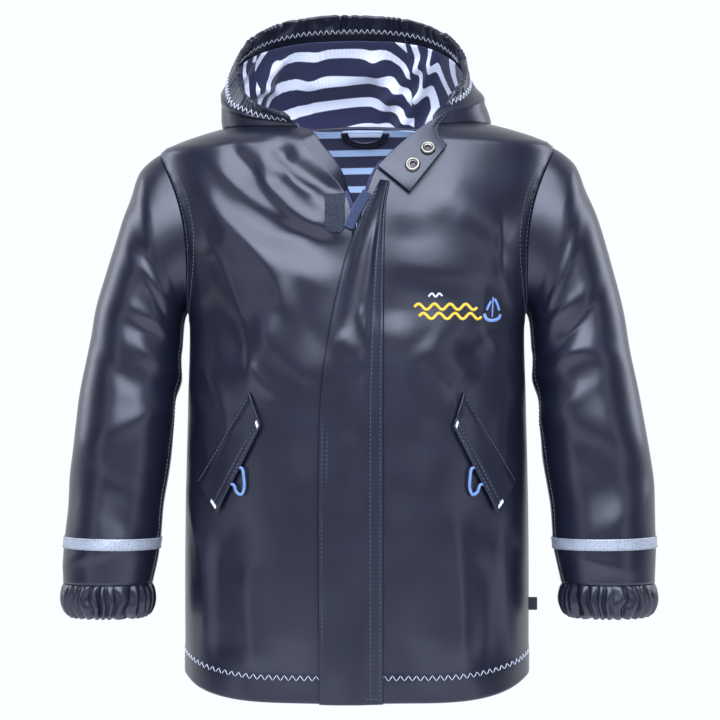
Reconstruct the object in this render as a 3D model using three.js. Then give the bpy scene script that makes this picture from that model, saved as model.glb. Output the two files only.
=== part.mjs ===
// Hooded rain jacket for a child of 110 to 116 cm, filled out as worn.
// Millimetres, +Z up, +X to the wearer's left, the front faces -Y.
// The origin is the middle of the neck base, level with the inner ends of the shoulder seams.
import * as THREE from 'three';

// Driving dimensions
const CLOTH = 1.4;            // coated shell cloth
const LINING = 1.0;           // striped jersey
const SEAM_GAP = 0.4;         // between pieces that are sewn together
const LINING_GAP = 1.0;       // between the shell and its lining
const HEM_SIDE_Z = -483;      // hem level at the side seams
const UNDERARM = 320;         // station of the underarm, along the side seam from the hem
const SHOULDER_TIP = 466;     // station where the sleeve's top meets the shoulder seam
const NECK = 525;             // station of the neck seam
const ARM_MID = (UNDERARM + SHOULDER_TIP) / 2;
const ARM_HALF = (SHOULDER_TIP - UNDERARM) / 2;
const ARM_FRONT = 50;         // half depth of the armhole, front and back
const ARM_BACK = 47;
const FLAP_BOTTOM_Z = -504;
const CUFF_GATHERS = 26;
const RIM_GATHERS = 44;
const RIM_DEPTH = 17;         // elastic tunnel of the hood
const TUNNEL_GAP = 1.3;       // between the tunnel's gathers and the hood's panels
const CORD_RADIUS = 1.25;
const SNAP_RADIUS = 6.6;
const LEAN = 0.017;           // the worn coat leans: its left shoulder lies higher than its right
const HEM_CORNERS = 9;        // how squarely the hem drops from the side seams

const rad = Math.PI / 180;
const vec = (x, y, z) => new THREE.Vector3(x, y, z);
const clamp = (v, low, high) => Math.min(high, Math.max(low, v));
function smooth(v) {
  const t = clamp(v, 0, 1);
  return t * t * (3 - 2 * t);
}
const mix = (a, b, t) => a + (b - a) * t;

// Half rings of the body, by station along the side seam from the hem to the neck
const bodyRings = [
  { at: 0, z: -483, half: 154, front: 98, back: 93, frontDrop: 20, backDrop: 22 },
  { at: 120, z: -363, half: 154, front: 100, back: 94, frontDrop: 10, backDrop: 11 },
  { at: 240, z: -243, half: 151.5, front: 101, back: 92, frontDrop: 3, backDrop: 3 },
  { at: 300, z: -183, half: 150, front: 100, back: 91, frontDrop: 0, backDrop: 0 },
  { at: 320, z: -163, half: 151.5, front: 99, back: 90, frontDrop: 0, backDrop: 0 },
  { at: 370, z: -113, half: 161, front: 96, back: 88, frontDrop: 0, backDrop: 0 },
  { at: 420, z: -63, half: 171, front: 90, back: 83, frontDrop: 0, backDrop: 0 },
  { at: 450, z: -33, half: 176.5, front: 84, back: 78, frontDrop: 0, backDrop: 0 },
  { at: 466, z: -18, half: 176, front: 80, back: 74, frontDrop: 0, backDrop: 0 },
  { at: 482, z: -10, half: 162, front: 76, back: 70, frontDrop: 1, backDrop: -1 },
  { at: 503, z: -3, half: 142, front: 71, back: 66, frontDrop: 3, backDrop: -3 },
  { at: 525, z: 3, half: 121, front: 66, back: 61, frontDrop: 6, backDrop: -6 },
];

// Edge of each front beside the opening, by station
const rightEdge = [
  { at: 0, x: -4.3 }, { at: 399, x: -4.3 }, { at: 410, x: -6 }, { at: 426, x: -13 },
  { at: 443, x: -27 }, { at: 459, x: -41 }, { at: 480, x: -49 }, { at: 525, x: -52 },
];
const leftEdge = [
  { at: 0, x: 3.3 }, { at: 399, x: 3.3 }, { at: 419, x: 8 }, { at: 444, x: 18 },
  { at: 463, x: 36 }, { at: 490, x: 55 }, { at: 525, x: 66 },
];

// Largest folds of the body: a ridge (or a trough, where high is below zero) between two places
const bodyFolds = [
  { face: -1, x1: -58, z1: -30, x2: -24, z2: -84, wide: 9, high: 3 },
  { face: -1, x1: -112, z1: -42, x2: -24, z2: -118, wide: 12, high: -4 },
  { face: -1, x1: -138, z1: -84, x2: -42, z2: -142, wide: 14, high: 4 },
  { face: -1, x1: -140, z1: -150, x2: -96, z2: -202, wide: 10, high: -4 },
  { face: -1, x1: -58, z1: -152, x2: -95, z2: -228, wide: 15, high: 3.5 },
  { face: -1, x1: -118, z1: -345, x2: -112, z2: -470, wide: 15, high: -3 },
  { face: -1, x1: -48, z1: -300, x2: -58, z2: -462, wide: 18, high: 3 },
  { face: -1, x1: 70, z1: -62, x2: 138, z2: -108, wide: 16, high: 4 },
  { face: -1, x1: 44, z1: -92, x2: 34, z2: -172, wide: 12, high: -3 },
  { face: -1, x1: 140, z1: -150, x2: 98, z2: -206, wide: 10, high: -4 },
  { face: -1, x1: 58, z1: -196, x2: 92, z2: -226, wide: 12, high: 3 },
  { face: -1, x1: 124, z1: -348, x2: 116, z2: -474, wide: 15, high: -3 },
  { face: -1, x1: 58, z1: -300, x2: 72, z2: -468, wide: 18, high: 3 },
  { face: 1, x1: -112, z1: -62, x2: -36, z2: -150, wide: 15, high: -3 },
  { face: 1, x1: 116, z1: -56, x2: 44, z2: -160, wide: 15, high: -3.5 },
  { face: 1, x1: -138, z1: -150, x2: -92, z2: -216, wide: 11, high: -4 },
  { face: 1, x1: 138, z1: -152, x2: 96, z2: -208, wide: 11, high: -4 },
  { face: 1, x1: -58, z1: -250, x2: -80, z2: -455, wide: 19, high: 3.5 },
  { face: 1, x1: 52, z1: -226, x2: 74, z2: -462, wide: 19, high: 3 },
  { face: 1, x1: -4, z1: -130, x2: 6, z2: -400, wide: 20, high: -3 },
];

// Sleeve stretches: outer and inner points of the tube seen from the front, its half depth,
// how far its middle lies behind the shoulder, and how far the right sleeve's outside is pulled in
const sleeveRings = [
  { outX: 176, outZ: -18, inX: 151.8, inZ: -162.6, deep: 49.6, back: 0, pull: 0 },
  { outX: 190, outZ: -27, inX: 153.6, inZ: -166.5, deep: 51, back: 0, pull: 0.5 },
  { outX: 201, outZ: -42, inX: 154.8, inZ: -171, deep: 51.5, back: 0, pull: 1.5 },
  { outX: 211, outZ: -66, inX: 155.6, inZ: -177, deep: 51, back: 0, pull: 3 },
  { outX: 221, outZ: -96, inX: 156.2, inZ: -185, deep: 50.5, back: 0, pull: 4.5 },
  { outX: 231, outZ: -130, inX: 156.8, inZ: -195, deep: 50, back: -1, pull: 4.5 },
  { outX: 240, outZ: -165, inX: 157.6, inZ: -208, deep: 49, back: -2, pull: 4.5 },
  { outX: 247, outZ: -200, inX: 158.6, inZ: -226, deep: 48, back: -4, pull: 4 },
  { outX: 254, outZ: -240, inX: 161, inZ: -254, deep: 47, back: -7, pull: 4.5 },
  { outX: 260, outZ: -285, inX: 166, inZ: -290, deep: 46, back: -11, pull: 7.5 },
  { outX: 264.5, outZ: -330, inX: 171, inZ: -331, deep: 45, back: -15, pull: 8.5 },
  { outX: 266.5, outZ: -371, inX: 175.5, inZ: -372, deep: 44, back: -19, pull: 5 },
  { outX: 265.5, outZ: -404, inX: 182, inZ: -404, deep: 40, back: -22, pull: 3.6 },
];

// Largest folds of a sleeve: across it, centred at an angle round it and a place along it
const sleeveFolds = [
  { around: 20, along: 2.6, spread: 60, wide: 0.5, slope: 0.5, high: -3 },
  { around: 140, along: 5.2, spread: 55, wide: 0.42, slope: -0.5, high: -4.5 },
  { around: 110, along: 6.5, spread: 60, wide: 0.45, slope: 0.4, high: 3 },
  { around: 160, along: 7.4, spread: 60, wide: 0.4, slope: 0.6, high: -4 },
  { around: 70, along: 8.6, spread: 70, wide: 0.5, slope: -0.6, high: 3 },
  { around: 230, along: 5.6, spread: 60, wide: 0.45, slope: 0.5, high: -4 },
  { around: 260, along: 7.8, spread: 70, wide: 0.5, slope: -0.4, high: -3 },
  { around: 110, along: 9.8, spread: 60, wide: 0.4, slope: 0.3, high: -3 },
  { around: 290, along: 9.4, spread: 60, wide: 0.5, slope: 0.3, high: 3 },
];

// Reads one column of a table at a place between its rows, on a smooth curve through them
function read(table, column, at) {
  const last = table.length - 1;
  const place = (i) => (table[i].at === undefined ? i : table[i].at);
  let k = 0;
  while (k < last - 1 && at > place(k + 1)) k += 1;
  const span = place(k + 1) - place(k);
  const t = clamp((at - place(k)) / span, 0, 1);
  const slope = (i) => {
    const low = Math.max(0, i - 1), high = Math.min(last, i + 1);
    return (table[high][column] - table[low][column]) / (place(high) - place(low));
  };
  const a = table[k][column], b = table[k + 1][column];
  const t2 = t * t, t3 = t2 * t;
  return a * (2 * t3 - 3 * t2 + 1) + b * (3 * t2 - 2 * t3)
    + span * (slope(k) * (t3 - 2 * t2 + t) + slope(k + 1) * (t3 - t2));
}

// Height of a fold at a place seen from the front
function foldHeight(fold, x, z) {
  const dx = fold.x2 - fold.x1, dz = fold.z2 - fold.z1;
  const length = Math.hypot(dx, dz);
  const along = ((x - fold.x1) * dx + (z - fold.z1) * dz) / (length * length);
  const off = ((x - fold.x1) * dz - (z - fold.z1) * dx) / length;
  const ends = smooth((along + 0.2) / 0.35) * smooth((1.2 - along) / 0.35);
  return fold.high * ends * Math.exp(-0.5 * (off / fold.wide) ** 2);
}

// Body surface by angle round it (0 at the wearer's left side, -90 in front) and station
const squareness = (s) => mix(2.6, 2.3, smooth((s - 400) / 125));

function ringRadius(angle, s) {
  const half = read(bodyRings, 'half', s);
  const deep = read(bodyRings, Math.sin(angle) < 0 ? 'front' : 'back', s);
  const n = squareness(s);
  return (Math.abs(Math.cos(angle) / half) ** n + Math.abs(Math.sin(angle) / deep) ** n) ** (-1 / n);
}

function plainBody(angle, s) {
  const r = ringRadius(angle, s);
  const drop = read(bodyRings, Math.sin(angle) < 0 ? 'frontDrop' : 'backDrop', s);
  const share = 1 - Math.abs(Math.cos(angle)) ** mix(HEM_CORNERS, 2, smooth(s / 300));
  return vec(r * Math.cos(angle), r * Math.sin(angle), read(bodyRings, 'z', s) - drop * share);
}

// Angle, from the side, of the armhole's edge at a station: 0 on the side and shoulder seams
function armholeAngle(s, face, ease = 0) {
  const t = (s - ARM_MID) / (ARM_HALF + ease);
  if (Math.abs(t) >= 1) return 0;
  const deep = ((face < 0 ? ARM_FRONT : ARM_BACK) + ease) * Math.sqrt(1 - t * t);
  return Math.atan2(deep, sideX(s, deep, face));
}

function sideX(s, y, face) {
  const n = squareness(s);
  const deep = read(bodyRings, face < 0 ? 'front' : 'back', s);
  return read(bodyRings, 'half', s) * (1 - (y / deep) ** n) ** (1 / n);
}

function bodyPoint(angle, s) {
  const p = plainBody(angle, s);
  const step = 0.02;
  const across = plainBody(angle + step, s).sub(plainBody(angle - step, s));
  const s1 = Math.min(s + 3, NECK), s0 = Math.max(s - 3, 0);
  const up = plainBody(angle, s1).sub(plainBody(angle, s0));
  const out = across.cross(up).normalize();
  const face = Math.sin(angle) < 0 ? -1 : 1;
  const fromSide = Math.acos(clamp(Math.abs(Math.cos(angle)), 0, 1));
  const armZone = 20 * rad * smooth((s - UNDERARM + 40) / 60) * smooth((NECK - 10 - s) / 40);
  const calm = smooth((fromSide - armZone) / (14 * rad)) * smooth((NECK - s) / 40);
  let high = 1.6 * Math.sin(7 * angle + 0.6) * smooth((90 - s) / 90) * smooth(fromSide / 0.3);
  for (const fold of bodyFolds) if (fold.face === face) high += foldHeight(fold, p.x, p.z);
  p.addScaledVector(out, high * calm);
  p.out = out;
  return p;
}

// Angle on the front where the body has a given x at a station
function frontAngle(x, s) {
  const n = squareness(s);
  const half = read(bodyRings, 'half', s), deep = read(bodyRings, 'front', s);
  const y = -deep * (1 - Math.min(0.999, Math.abs(x) / half) ** n) ** (1 / n);
  return Math.atan2(y, x) + (x < -0.001 && y > -0.001 ? 2 * Math.PI : 0);
}

// Front of the body at a given x and z
function onFront(x, z) {
  let s = z - HEM_SIDE_Z;
  for (let i = 0; i < 30; i += 1) {
    s = clamp(s + (z - plainBody(frontAngle(x, s), s).z), 0, NECK - 1);
  }
  return bodyPoint(frontAngle(x, s), s);
}

// A wall of cloth over a grid of points. Its two faces lie low and high of the grid along the
// outward normals, a point's own one where it has it. A round grid closes on itself along each row.
function wall(rows, low, high, round = false) {
  const nv = rows.length, nu = rows[0].length;
  const at = (j, i) => rows[j][round ? (i + nu) % nu : i];
  const positions = [];
  for (const height of [high, low]) {
    for (let j = 0; j < nv; j += 1) {
      for (let i = 0; i < nu; i += 1) {
        const i0 = round ? i - 1 : Math.max(0, i - 1);
        const i1 = round ? i + 1 : Math.min(nu - 1, i + 1);
        const j0 = Math.max(0, j - 1), j1 = Math.min(nv - 1, j + 1);
        const across = at(j, i1).clone().sub(at(j, i0));
        const up = at(j1, i).clone().sub(at(j0, i));
        const out = at(j, i).out || across.cross(up).normalize();
        const p = at(j, i).clone().addScaledVector(out, typeof height === 'function' ? height(i, j) : height);
        positions.push(p.x, p.y, p.z);
      }
    }
  }
  const id = (side, j, i) => side * nv * nu + j * nu + (round ? (i + nu) % nu : i);
  const faces = [];
  const quad = (a, b, c, d) => faces.push(a, b, c, a, c, d);
  const cells = round ? nu : nu - 1;
  for (let i = 0; i < cells; i += 1) {
    for (let j = 0; j < nv - 1; j += 1) {
      quad(id(0, j, i), id(0, j, i + 1), id(0, j + 1, i + 1), id(0, j + 1, i));
      quad(id(1, j, i), id(1, j + 1, i), id(1, j + 1, i + 1), id(1, j, i + 1));
    }
    quad(id(0, 0, i + 1), id(0, 0, i), id(1, 0, i), id(1, 0, i + 1));
    quad(id(0, nv - 1, i), id(0, nv - 1, i + 1), id(1, nv - 1, i + 1), id(1, nv - 1, i));
  }
  if (!round) {
    for (let j = 0; j < nv - 1; j += 1) {
      quad(id(0, j, 0), id(0, j + 1, 0), id(1, j + 1, 0), id(1, j, 0));
      quad(id(0, j + 1, nu - 1), id(0, j, nu - 1), id(1, j, nu - 1), id(1, j + 1, nu - 1));
    }
  }
  const geometry = new THREE.BufferGeometry();
  geometry.setAttribute('position', new THREE.Float32BufferAttribute(positions, 3));
  geometry.setIndex(faces);
  return geometry;
}

const grid = (countV, countU, point) => Array.from({ length: countV + 1 }, (_, j) => (
  Array.from({ length: countU + 1 }, (__, i) => point(i / countU, j / countV, i, j))));
const mirrored = (rows) => rows.map((row) => row.map((p) => vec(-p.x, p.y, p.z)).reverse());

// Materials
const surface = (color, roughness, metalness = 0) => (
  new THREE.MeshStandardMaterial({ color, roughness, metalness }));
const shellCloth = surface('#2b2e40', 0.38);
const liningJersey = surface('#27305c', 0.9);
const bandTape = surface('#a3a8ab', 0.45);
const hookTape = surface('#2a3050', 0.95);
const snapMetal = surface('#8f887a', 0.35, 0.9);
const cordBlue = surface('#5f86b4', 0.8);
const zipNavy = surface('#262b48', 0.6);
const labelCloth = surface('#b9c0cc', 0.8);
const labelBlack = surface('#15161b', 0.7);

const coat = new THREE.Group();
function add(name, geometry, material) {
  const mesh = new THREE.Mesh(geometry, material);
  mesh.name = name;
  coat.add(mesh);
  return mesh;
}

// Stations of the rows of a panel: even below, closer round the armhole
const stations = [];
for (let k = 0; k < 9; k += 1) stations.push((UNDERARM - 12) * k / 9);
for (let k = 0; k <= 9; k += 1) stations.push(ARM_MID - ARM_HALF * 1.02 * Math.cos(Math.PI * k / 9));
for (let k = 1; k <= 3; k += 1) stations.push(mix(SHOULDER_TIP + 3, NECK, k / 3));

// Front and back panels: from one edge to the other round the body, row by row
function panel(columns, startAngle, endAngle) {
  return stations.map((s) => {
    const angles = evenAngles(startAngle(s), endAngle(s), s, columns);
    return angles.map((angle) => bodyPoint(angle, s));
  });
}

// Angles that part a stretch of a ring into equal lengths
function evenAngles(start, end, s, columns) {
  const fine = 48;
  const lengths = [0];
  let last = plainBody(start, s);
  for (let k = 1; k <= fine; k += 1) {
    const next = plainBody(mix(start, end, k / fine), s);
    lengths.push(lengths[k - 1] + next.distanceTo(last));
    last = next;
  }
  return Array.from({ length: columns + 1 }, (_, i) => {
    const want = lengths[fine] * i / columns;
    let k = 0;
    while (k < fine - 1 && lengths[k + 1] < want) k += 1;
    return mix(start, end, (k + (want - lengths[k]) / (lengths[k + 1] - lengths[k])) / fine);
  });
}
const edgeGap = (s) => SEAM_GAP / 2 / ringRadius(0, s);
const frontSide = (s) => armholeAngle(s, -1, SEAM_GAP) + edgeGap(s);
const backSide = (s) => armholeAngle(s, 1, SEAM_GAP) + edgeGap(s);
const turn = 2 * Math.PI;

function fullAngle(x, s) {
  const angle = frontAngle(x, s);
  return angle < 0 ? angle + turn : angle;
}
add('front_right', wall(panel(8, (s) => Math.PI + frontSide(s),
  (s) => fullAngle(read(rightEdge, 'x', s), s)), -CLOTH, 0), shellCloth);
add('front_left', wall(panel(8, (s) => fullAngle(read(leftEdge, 'x', s), s),
  (s) => turn - frontSide(s)), -CLOTH, 0), shellCloth);
add('back', wall(panel(14, backSide, (s) => Math.PI - backSide(s)), -CLOTH, 0), shellCloth);
const innerGap = CLOTH + LINING_GAP;
add('back_lining', wall(panel(14, backSide, (s) => Math.PI - backSide(s)).slice(1),
  -innerGap - LINING, -innerGap), liningJersey);

// Sleeves: rings that swing from the armhole down to the wrist
const SLEEVE_SIDES = 20;
const wristRow = sleeveRings.length - 1;

function sleevePoint(around, t, side) {
  const pull = side === 'right' ? read(sleeveRings, 'pull', t) : 0;
  const outer = vec(read(sleeveRings, 'outX', t) - pull, 0, read(sleeveRings, 'outZ', t));
  const inner = vec(read(sleeveRings, 'inX', t), 0, read(sleeveRings, 'inZ', t));
  const middle = outer.clone().add(inner).multiplyScalar(0.5);
  const reach = outer.sub(inner).multiplyScalar(0.5);
  const deep = read(sleeveRings, 'deep', t), back = read(sleeveRings, 'back', t);
  const free = middle.clone().addScaledVector(reach, Math.cos(around));
  free.y = back - deep * Math.sin(around);
  const face = Math.sin(around) > 0 ? -1 : 1;
  const s = ARM_MID + (ARM_HALF - SEAM_GAP / 2) * Math.cos(around);
  const y = ((face < 0 ? ARM_FRONT : ARM_BACK) - SEAM_GAP / 2) * Math.abs(Math.sin(around));
  const clear = 0.3 * smooth((UNDERARM + 30 - s) / 30);
  const seam = vec(sideX(s, y, face) + clear, face * y, read(bodyRings, 'z', s));
  const settle = smooth(t / 1.5);
  const p = seam.lerp(free, settle);
  let high = 0;
  for (const fold of sleeveFolds) {
    let turned = around / rad - fold.around;
    turned -= 360 * Math.round(turned / 360);
    const off = (t - fold.along - fold.slope * turned / 60) / fold.wide;
    high += fold.high * Math.exp(-0.5 * (off * off + (turned / fold.spread) ** 2));
  }
  const inward = smooth((Math.cos(around + Math.PI) - 0.3) / 0.5) * smooth((7 - t) / 2);
  high *= smooth((t - 1) / 1.5) * smooth((wristRow - t) / 1.5) * (1 - inward);
  return p.addScaledVector(p.clone().sub(middle).normalize(), high);
}

const sleeveStops = [0, 0.6, 1.3, 2.1, 3.1, 4.2, 5.1, 5.9, 6.7, 7.5, 8.3, 9.1, 10, 11, 12];
const ring = (t, side) => Array.from({ length: SLEEVE_SIDES }, (_, i) => (
  sleevePoint(turn * i / SLEEVE_SIDES, t, side)));

// Reflective tape: the sleeve's own points between two levels, moved out
const BAND_AT = 10.92, BAND_HALF = 0.13;
const bandStops = [BAND_AT - BAND_HALF, BAND_AT + BAND_HALF];

// Cuff: puffed out and turned in to the elastic, gathered all round
const cuffProfile = [
  { down: 0.6, scale: 0.985, wave: 0.5 }, { down: 9, scale: 1.04, wave: 1.4 },
  { down: 21, scale: 1.02, wave: 1.8 }, { down: 29.5, scale: 0.84, wave: 2.0 },
  { down: 26, scale: 0.66, wave: 1.4 },
];
function cuffRows(side) {
  const end = sleeveRings[wristRow];
  const outX = end.outX - (side === 'right' ? end.pull : 0);
  const midX = (outX + end.inX) / 2, half = (outX - end.inX) / 2;
  return cuffProfile.map((row) => Array.from({ length: CUFF_GATHERS * 2 }, (_, i) => {
    const around = turn * i / (CUFF_GATHERS * 2);
    const swell = row.wave * (i % 2 ? 1 : -1) * (0.75 + 0.25 * Math.sin(i * 1.7));
    const scale = row.scale;
    return vec(midX + (half * scale + swell) * Math.cos(around),
      end.back - (end.deep * scale + swell) * Math.sin(around), end.outZ - row.down);
  }));
}

for (const side of ['right', 'left']) {
  const place = side === 'right' ? mirrored : (rows) => rows;
  const sleeve = place(sleeveStops.map((t) => ring(t, side)));
  const band = place(bandStops.map((t) => ring(t, side)));
  add(`sleeve_${side}`, wall(sleeve, -CLOTH, 0, true), shellCloth);
  add(`reflective_band_${side}`, wall(band, 0.4, 1.2, true), bandTape);
  add(`cuff_${side}`, wall(place(cuffRows(side)), -CLOTH, 0, true), shellCloth);
}

// Hood, fallen open: a bag between the neck seam and the tilted rim
const RIM = { x: -5, y: -8, z: 57, half: 103, long: 89, tilt: 38 * rad, start: -30, sweep: 268 };
const HOOD_START = -40, HOOD_SWEEP = 270;
const CENTRE_FROM = 0.37, CENTRE_TO = 0.63;

function hoodEnds(a) {
  const angle = (HOOD_START + HOOD_SWEEP * a) * rad;
  const neck = plainBody(angle, NECK).add(vec(0, 0, 0.7));
  const b = (RIM.start + RIM.sweep * a) * rad;
  const squared = (v) => Math.sign(v) * Math.abs(v) ** 0.84;
  const along = RIM.long * squared(Math.sin(b));
  const rim = vec(RIM.x + RIM.half * squared(Math.cos(b)), RIM.y + along * Math.cos(RIM.tilt),
    RIM.z + along * Math.sin(RIM.tilt));
  return { angle, neck, rim };
}

function hoodPoint(a, t) {
  const { angle, neck, rim } = hoodEnds(a);
  const behind = Math.max(0, Math.sin(angle)) ** 1.5;
  const aside = Math.sign(Math.cos(angle)) * smooth(Math.abs(Math.cos(angle)) * 1.2);
  const swell = aside > 0 ? { low: -6, high: -2 } : { low: 4, high: 12 };
  const low = neck.clone().add(vec(75 * behind * Math.cos(angle) + swell.low * aside * (1 - behind),
    130 * behind * Math.sin(angle), mix(0.45 * (rim.z - neck.z) + 3, -125, behind)));
  const high = rim.clone().add(vec(60 * behind * Math.cos(angle) + swell.high * aside * (1 - behind),
    45 * behind, mix(-0.3 * (rim.z - neck.z), -55, behind)));
  const u = 1 - t;
  return neck.multiplyScalar(u * u * u).addScaledVector(low, 3 * u * u * t)
    .addScaledVector(high, 3 * u * t * t).addScaledVector(rim, t * t * t);
}

// Place along a profile where the rim's tunnel is sewn on
function tunnelSeam(a) {
  const rim = hoodPoint(a, 1);
  const depth = Math.min(RIM_DEPTH, 0.55 * rim.distanceTo(hoodPoint(a, 0)));
  let t = 1;
  while (t > 0.4 && hoodPoint(a, t).distanceTo(rim) < depth) t -= 0.004;
  return t;
}

// Place along a profile a little before the tunnel
function shortOfTunnel(a, short) {
  const end = tunnelSeam(a);
  const seam = hoodPoint(a, end);
  let t = end;
  while (t > 0.1 && hoodPoint(a, t).distanceTo(seam) < short) t -= 0.002;
  return t;
}

function hoodPanel(from, to, columns, rows, short) {
  return grid(rows, columns, (u, v) => {
    const a = mix(from, to, u);
    return hoodPoint(a, shortOfTunnel(a, short) * v);
  });
}
const seamA = 0.0014;         // half the gap between the hood's panels, as a share of the way round
const hoodPanels = [
  { name: 'side_left', from: 0, to: CENTRE_FROM - seamA, columns: 8, rows: 8 },
  { name: 'centre', from: CENTRE_FROM + seamA, to: CENTRE_TO - seamA, columns: 6, rows: 9 },
  { name: 'side_right', from: CENTRE_TO + seamA, to: 1, columns: 8, rows: 8 },
];
for (const { name, from, to, columns, rows } of hoodPanels) {
  add(`hood_${name}`, wall(hoodPanel(from, to, columns, rows, 0), -CLOTH, 0), shellCloth);
  add(`hood_lining_${name}`, wall(hoodPanel(from, to, columns, rows, 2),
    -innerGap - LINING, -innerGap), liningJersey);
}

// The tunnel starts on the straight stretches between the panels' own edge points
function panelEdge(a) {
  const { from, to, columns } = hoodPanels.find((one) => a <= one.to + seamA * 2) || hoodPanels[2];
  const place = clamp((a - from) / (to - from), 0, 1) * columns;
  const low = Math.min(columns - 1, Math.floor(place));
  const ends = [low, low + 1].map((i) => {
    const b = mix(from, to, i / columns);
    return hoodPoint(b, tunnelSeam(b));
  });
  return ends[0].lerp(ends[1], place - low);
}

function rimRows() {
  return [0, 0.5, 1].map((v) => Array.from({ length: RIM_GATHERS * 2 + 1 }, (_, i) => {
    const a = mix(0.015, 1, i / (RIM_GATHERS * 2));
    const edge = panelEdge(a), rim = hoodPoint(a, 1);
    edge.addScaledVector(rim.clone().sub(edge).normalize(), TUNNEL_GAP);
    return edge.lerp(rim, v);
  }));
}
const gather = (i, j) => (j === 0 ? 0.15 : 1.1) * (i % 2 ? 1 : -1) * (0.8 + 0.2 * Math.sin(i * 2.1));
add('hood_rim', wall(rimRows(), (i, j) => gather(i, j) - 2.8, (i, j) => gather(i, j) + 0.2), shellCloth);

// Storm flap over the zip: the body's own points, moved out; its upper end rolls open
const flapRows = [
  { at: 0, free: -32, seam: 22.4, stand: 1.2 }, { at: 238, free: -32, seam: 22.4, stand: 1.4 },
  { at: 307, free: -26, seam: 22.6, stand: 2 }, { at: 384, free: -10.3, seam: 23, stand: 4 },
  { at: 410, free: -0.5, seam: 23.5, stand: 6 }, { at: 433, free: 11, seam: 24.5, stand: 7 },
  { at: 452, free: 20, seam: 28, stand: 6 },
];
const flapTop = flapRows[flapRows.length - 1].at;
const flapGrid = grid(18, 4, (u, v) => {
  const at = v * flapTop;
  return onFront(mix(read(flapRows, 'free', at), read(flapRows, 'seam', at), u), FLAP_BOTTOM_Z + at);
});
const flapLift = (i, j) => (i === 4 ? 0.5
  : 1.4 + (read(flapRows, 'stand', j / 18 * flapTop) - 1.2) * (1 - i / 4) ** 1.4);
add('storm_flap', wall(flapGrid, flapLift, (i, j) => flapLift(i, j) + 1.8), shellCloth);

// Strip along a route on the front, seen from the front, moved out from the body
function strip(route, wide, low, high, steps = 8) {
  const curve = new THREE.CatmullRomCurve3(route.map(([x, z]) => vec(x, 0, z)));
  const rows = Array.from({ length: steps + 1 }, (_, j) => {
    const p = curve.getPoint(j / steps), along = curve.getTangent(j / steps);
    const side = vec(along.z, 0, -along.x).normalize().multiplyScalar(wide / 2);
    return [p.clone().sub(side), p.clone(), p.clone().add(side)].map((q) => onFront(q.x, q.z));
  });
  return wall(rows, low, high);
}
add('hook_patch', strip([[-19, -95.5], [-19, -78], [-19, -61]], 16.5, 0.8, 2, 3), hookTape);
add('loop_strip', strip([[-7.5, -92], [-0.5, -77], [9, -61]], 8, 2.8, 3.8, 5), hookTape);

// Front zip: the closed chain below, the slider, and the two open halves along the V
add('zip_closed', strip([[-0.5, -498], [-0.5, -300], [-0.5, -113.5]], 6, -1.8, 0.2, 14), zipNavy);
add('zip_slider', strip([[-0.5, -111.5], [-0.5, -106], [-0.5, -100.5]], 6, -2.4, 0.2, 2), snapMetal);
const edgeRoute = (table, inward, from, to) => Array.from({ length: 7 }, (_, k) => {
  const s = mix(from, to, k / 6);
  return [read(table, 'x', s) + inward, plainBody(frontAngle(read(table, 'x', s), s), s).z];
});
add('zip_open_right', strip(edgeRoute(rightEdge, 2, 387, 424), 3.4, -3.6, -1.8, 6), zipNavy);
add('zip_open_left', strip(edgeRoute(leftEdge, -1.2, 388, 450), 3.4, -3.6, -1.8, 8), zipNavy);

// Facing along the right front's edge beside the neck; its lower end passes behind the zip
const bandGrid = grid(10, 2, (u, v) => {
  const s = mix(416, 521, v);
  const edge = plainBody(fullAngle(read(rightEdge, 'x', s), s), s);
  const low = 1 - smooth((v - 0.08) / 0.16), top = smooth((v - 0.45) / 0.4);
  const across = u * mix(mix(10, 4.5, low), 12.5, top);
  const rise = u * mix(8.5 * smooth(v * 3), -2.5, top);
  return edge.add(vec(mix(0.6, 1.2, low) + across, mix(3.2, 5.8, low) + 6.5 * u, 1 + rise));
});
add('neck_band_right', wall(bandGrid, -1, 0.6), shellCloth);

// Tab at the hood's left corner, folded outward over the chest, with two snap sockets
const tabCorners = {
  a: vec(18.5, -88, -38.5), b: vec(46, -93.5, -60.5), c: vec(78, -81, -21), d: vec(82, -55.5, 12),
};
const tabFold = vec(-1, 1.5, 3.5);
function tabPoint(u, v) {
  const low = tabCorners.a.clone().lerp(tabCorners.b, u);
  const high = tabCorners.d.clone().lerp(tabCorners.c, u);
  const p = low.lerp(high, v);
  const crown = 4 * v * (1 - v);
  const drawnIn = 10 * Math.sin(Math.PI * u) * v * v;
  return p.add(vec(-drawnIn, -5 * crown, 0)).addScaledVector(tabFold, (1 - u) * crown);
}
add('snap_tab', wall(grid(6, 4, (u, v) => tabPoint(u, v)), 0, 2.2), shellCloth);

function snapSocket() {
  const profile = [[2.4, 0], [SNAP_RADIUS, 0], [SNAP_RADIUS, 0.9], [SNAP_RADIUS - 0.9, 1.9], [4.2, 1.9],
    [3.3, 1.1], [2.4, 1.1], [2.4, 0]].map(([x, y]) => new THREE.Vector2(x, y));
  return new THREE.LatheGeometry(profile, 20);
}
for (const [name, u, v] of [['upper', 0.70, 0.67], ['lower', 0.65, 0.31]]) {
  const seat = tabPoint(u, v);
  const out = tabPoint(u + 0.05, v).sub(seat).cross(tabPoint(u, v + 0.05).sub(seat)).normalize();
  const socket = add(`snap_socket_${name}`, snapSocket(), snapMetal);
  socket.position.copy(seat).addScaledVector(out, 2.2 + 0.7);
  socket.quaternion.setFromUnitVectors(vec(0, 1, 0), out);
}

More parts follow.
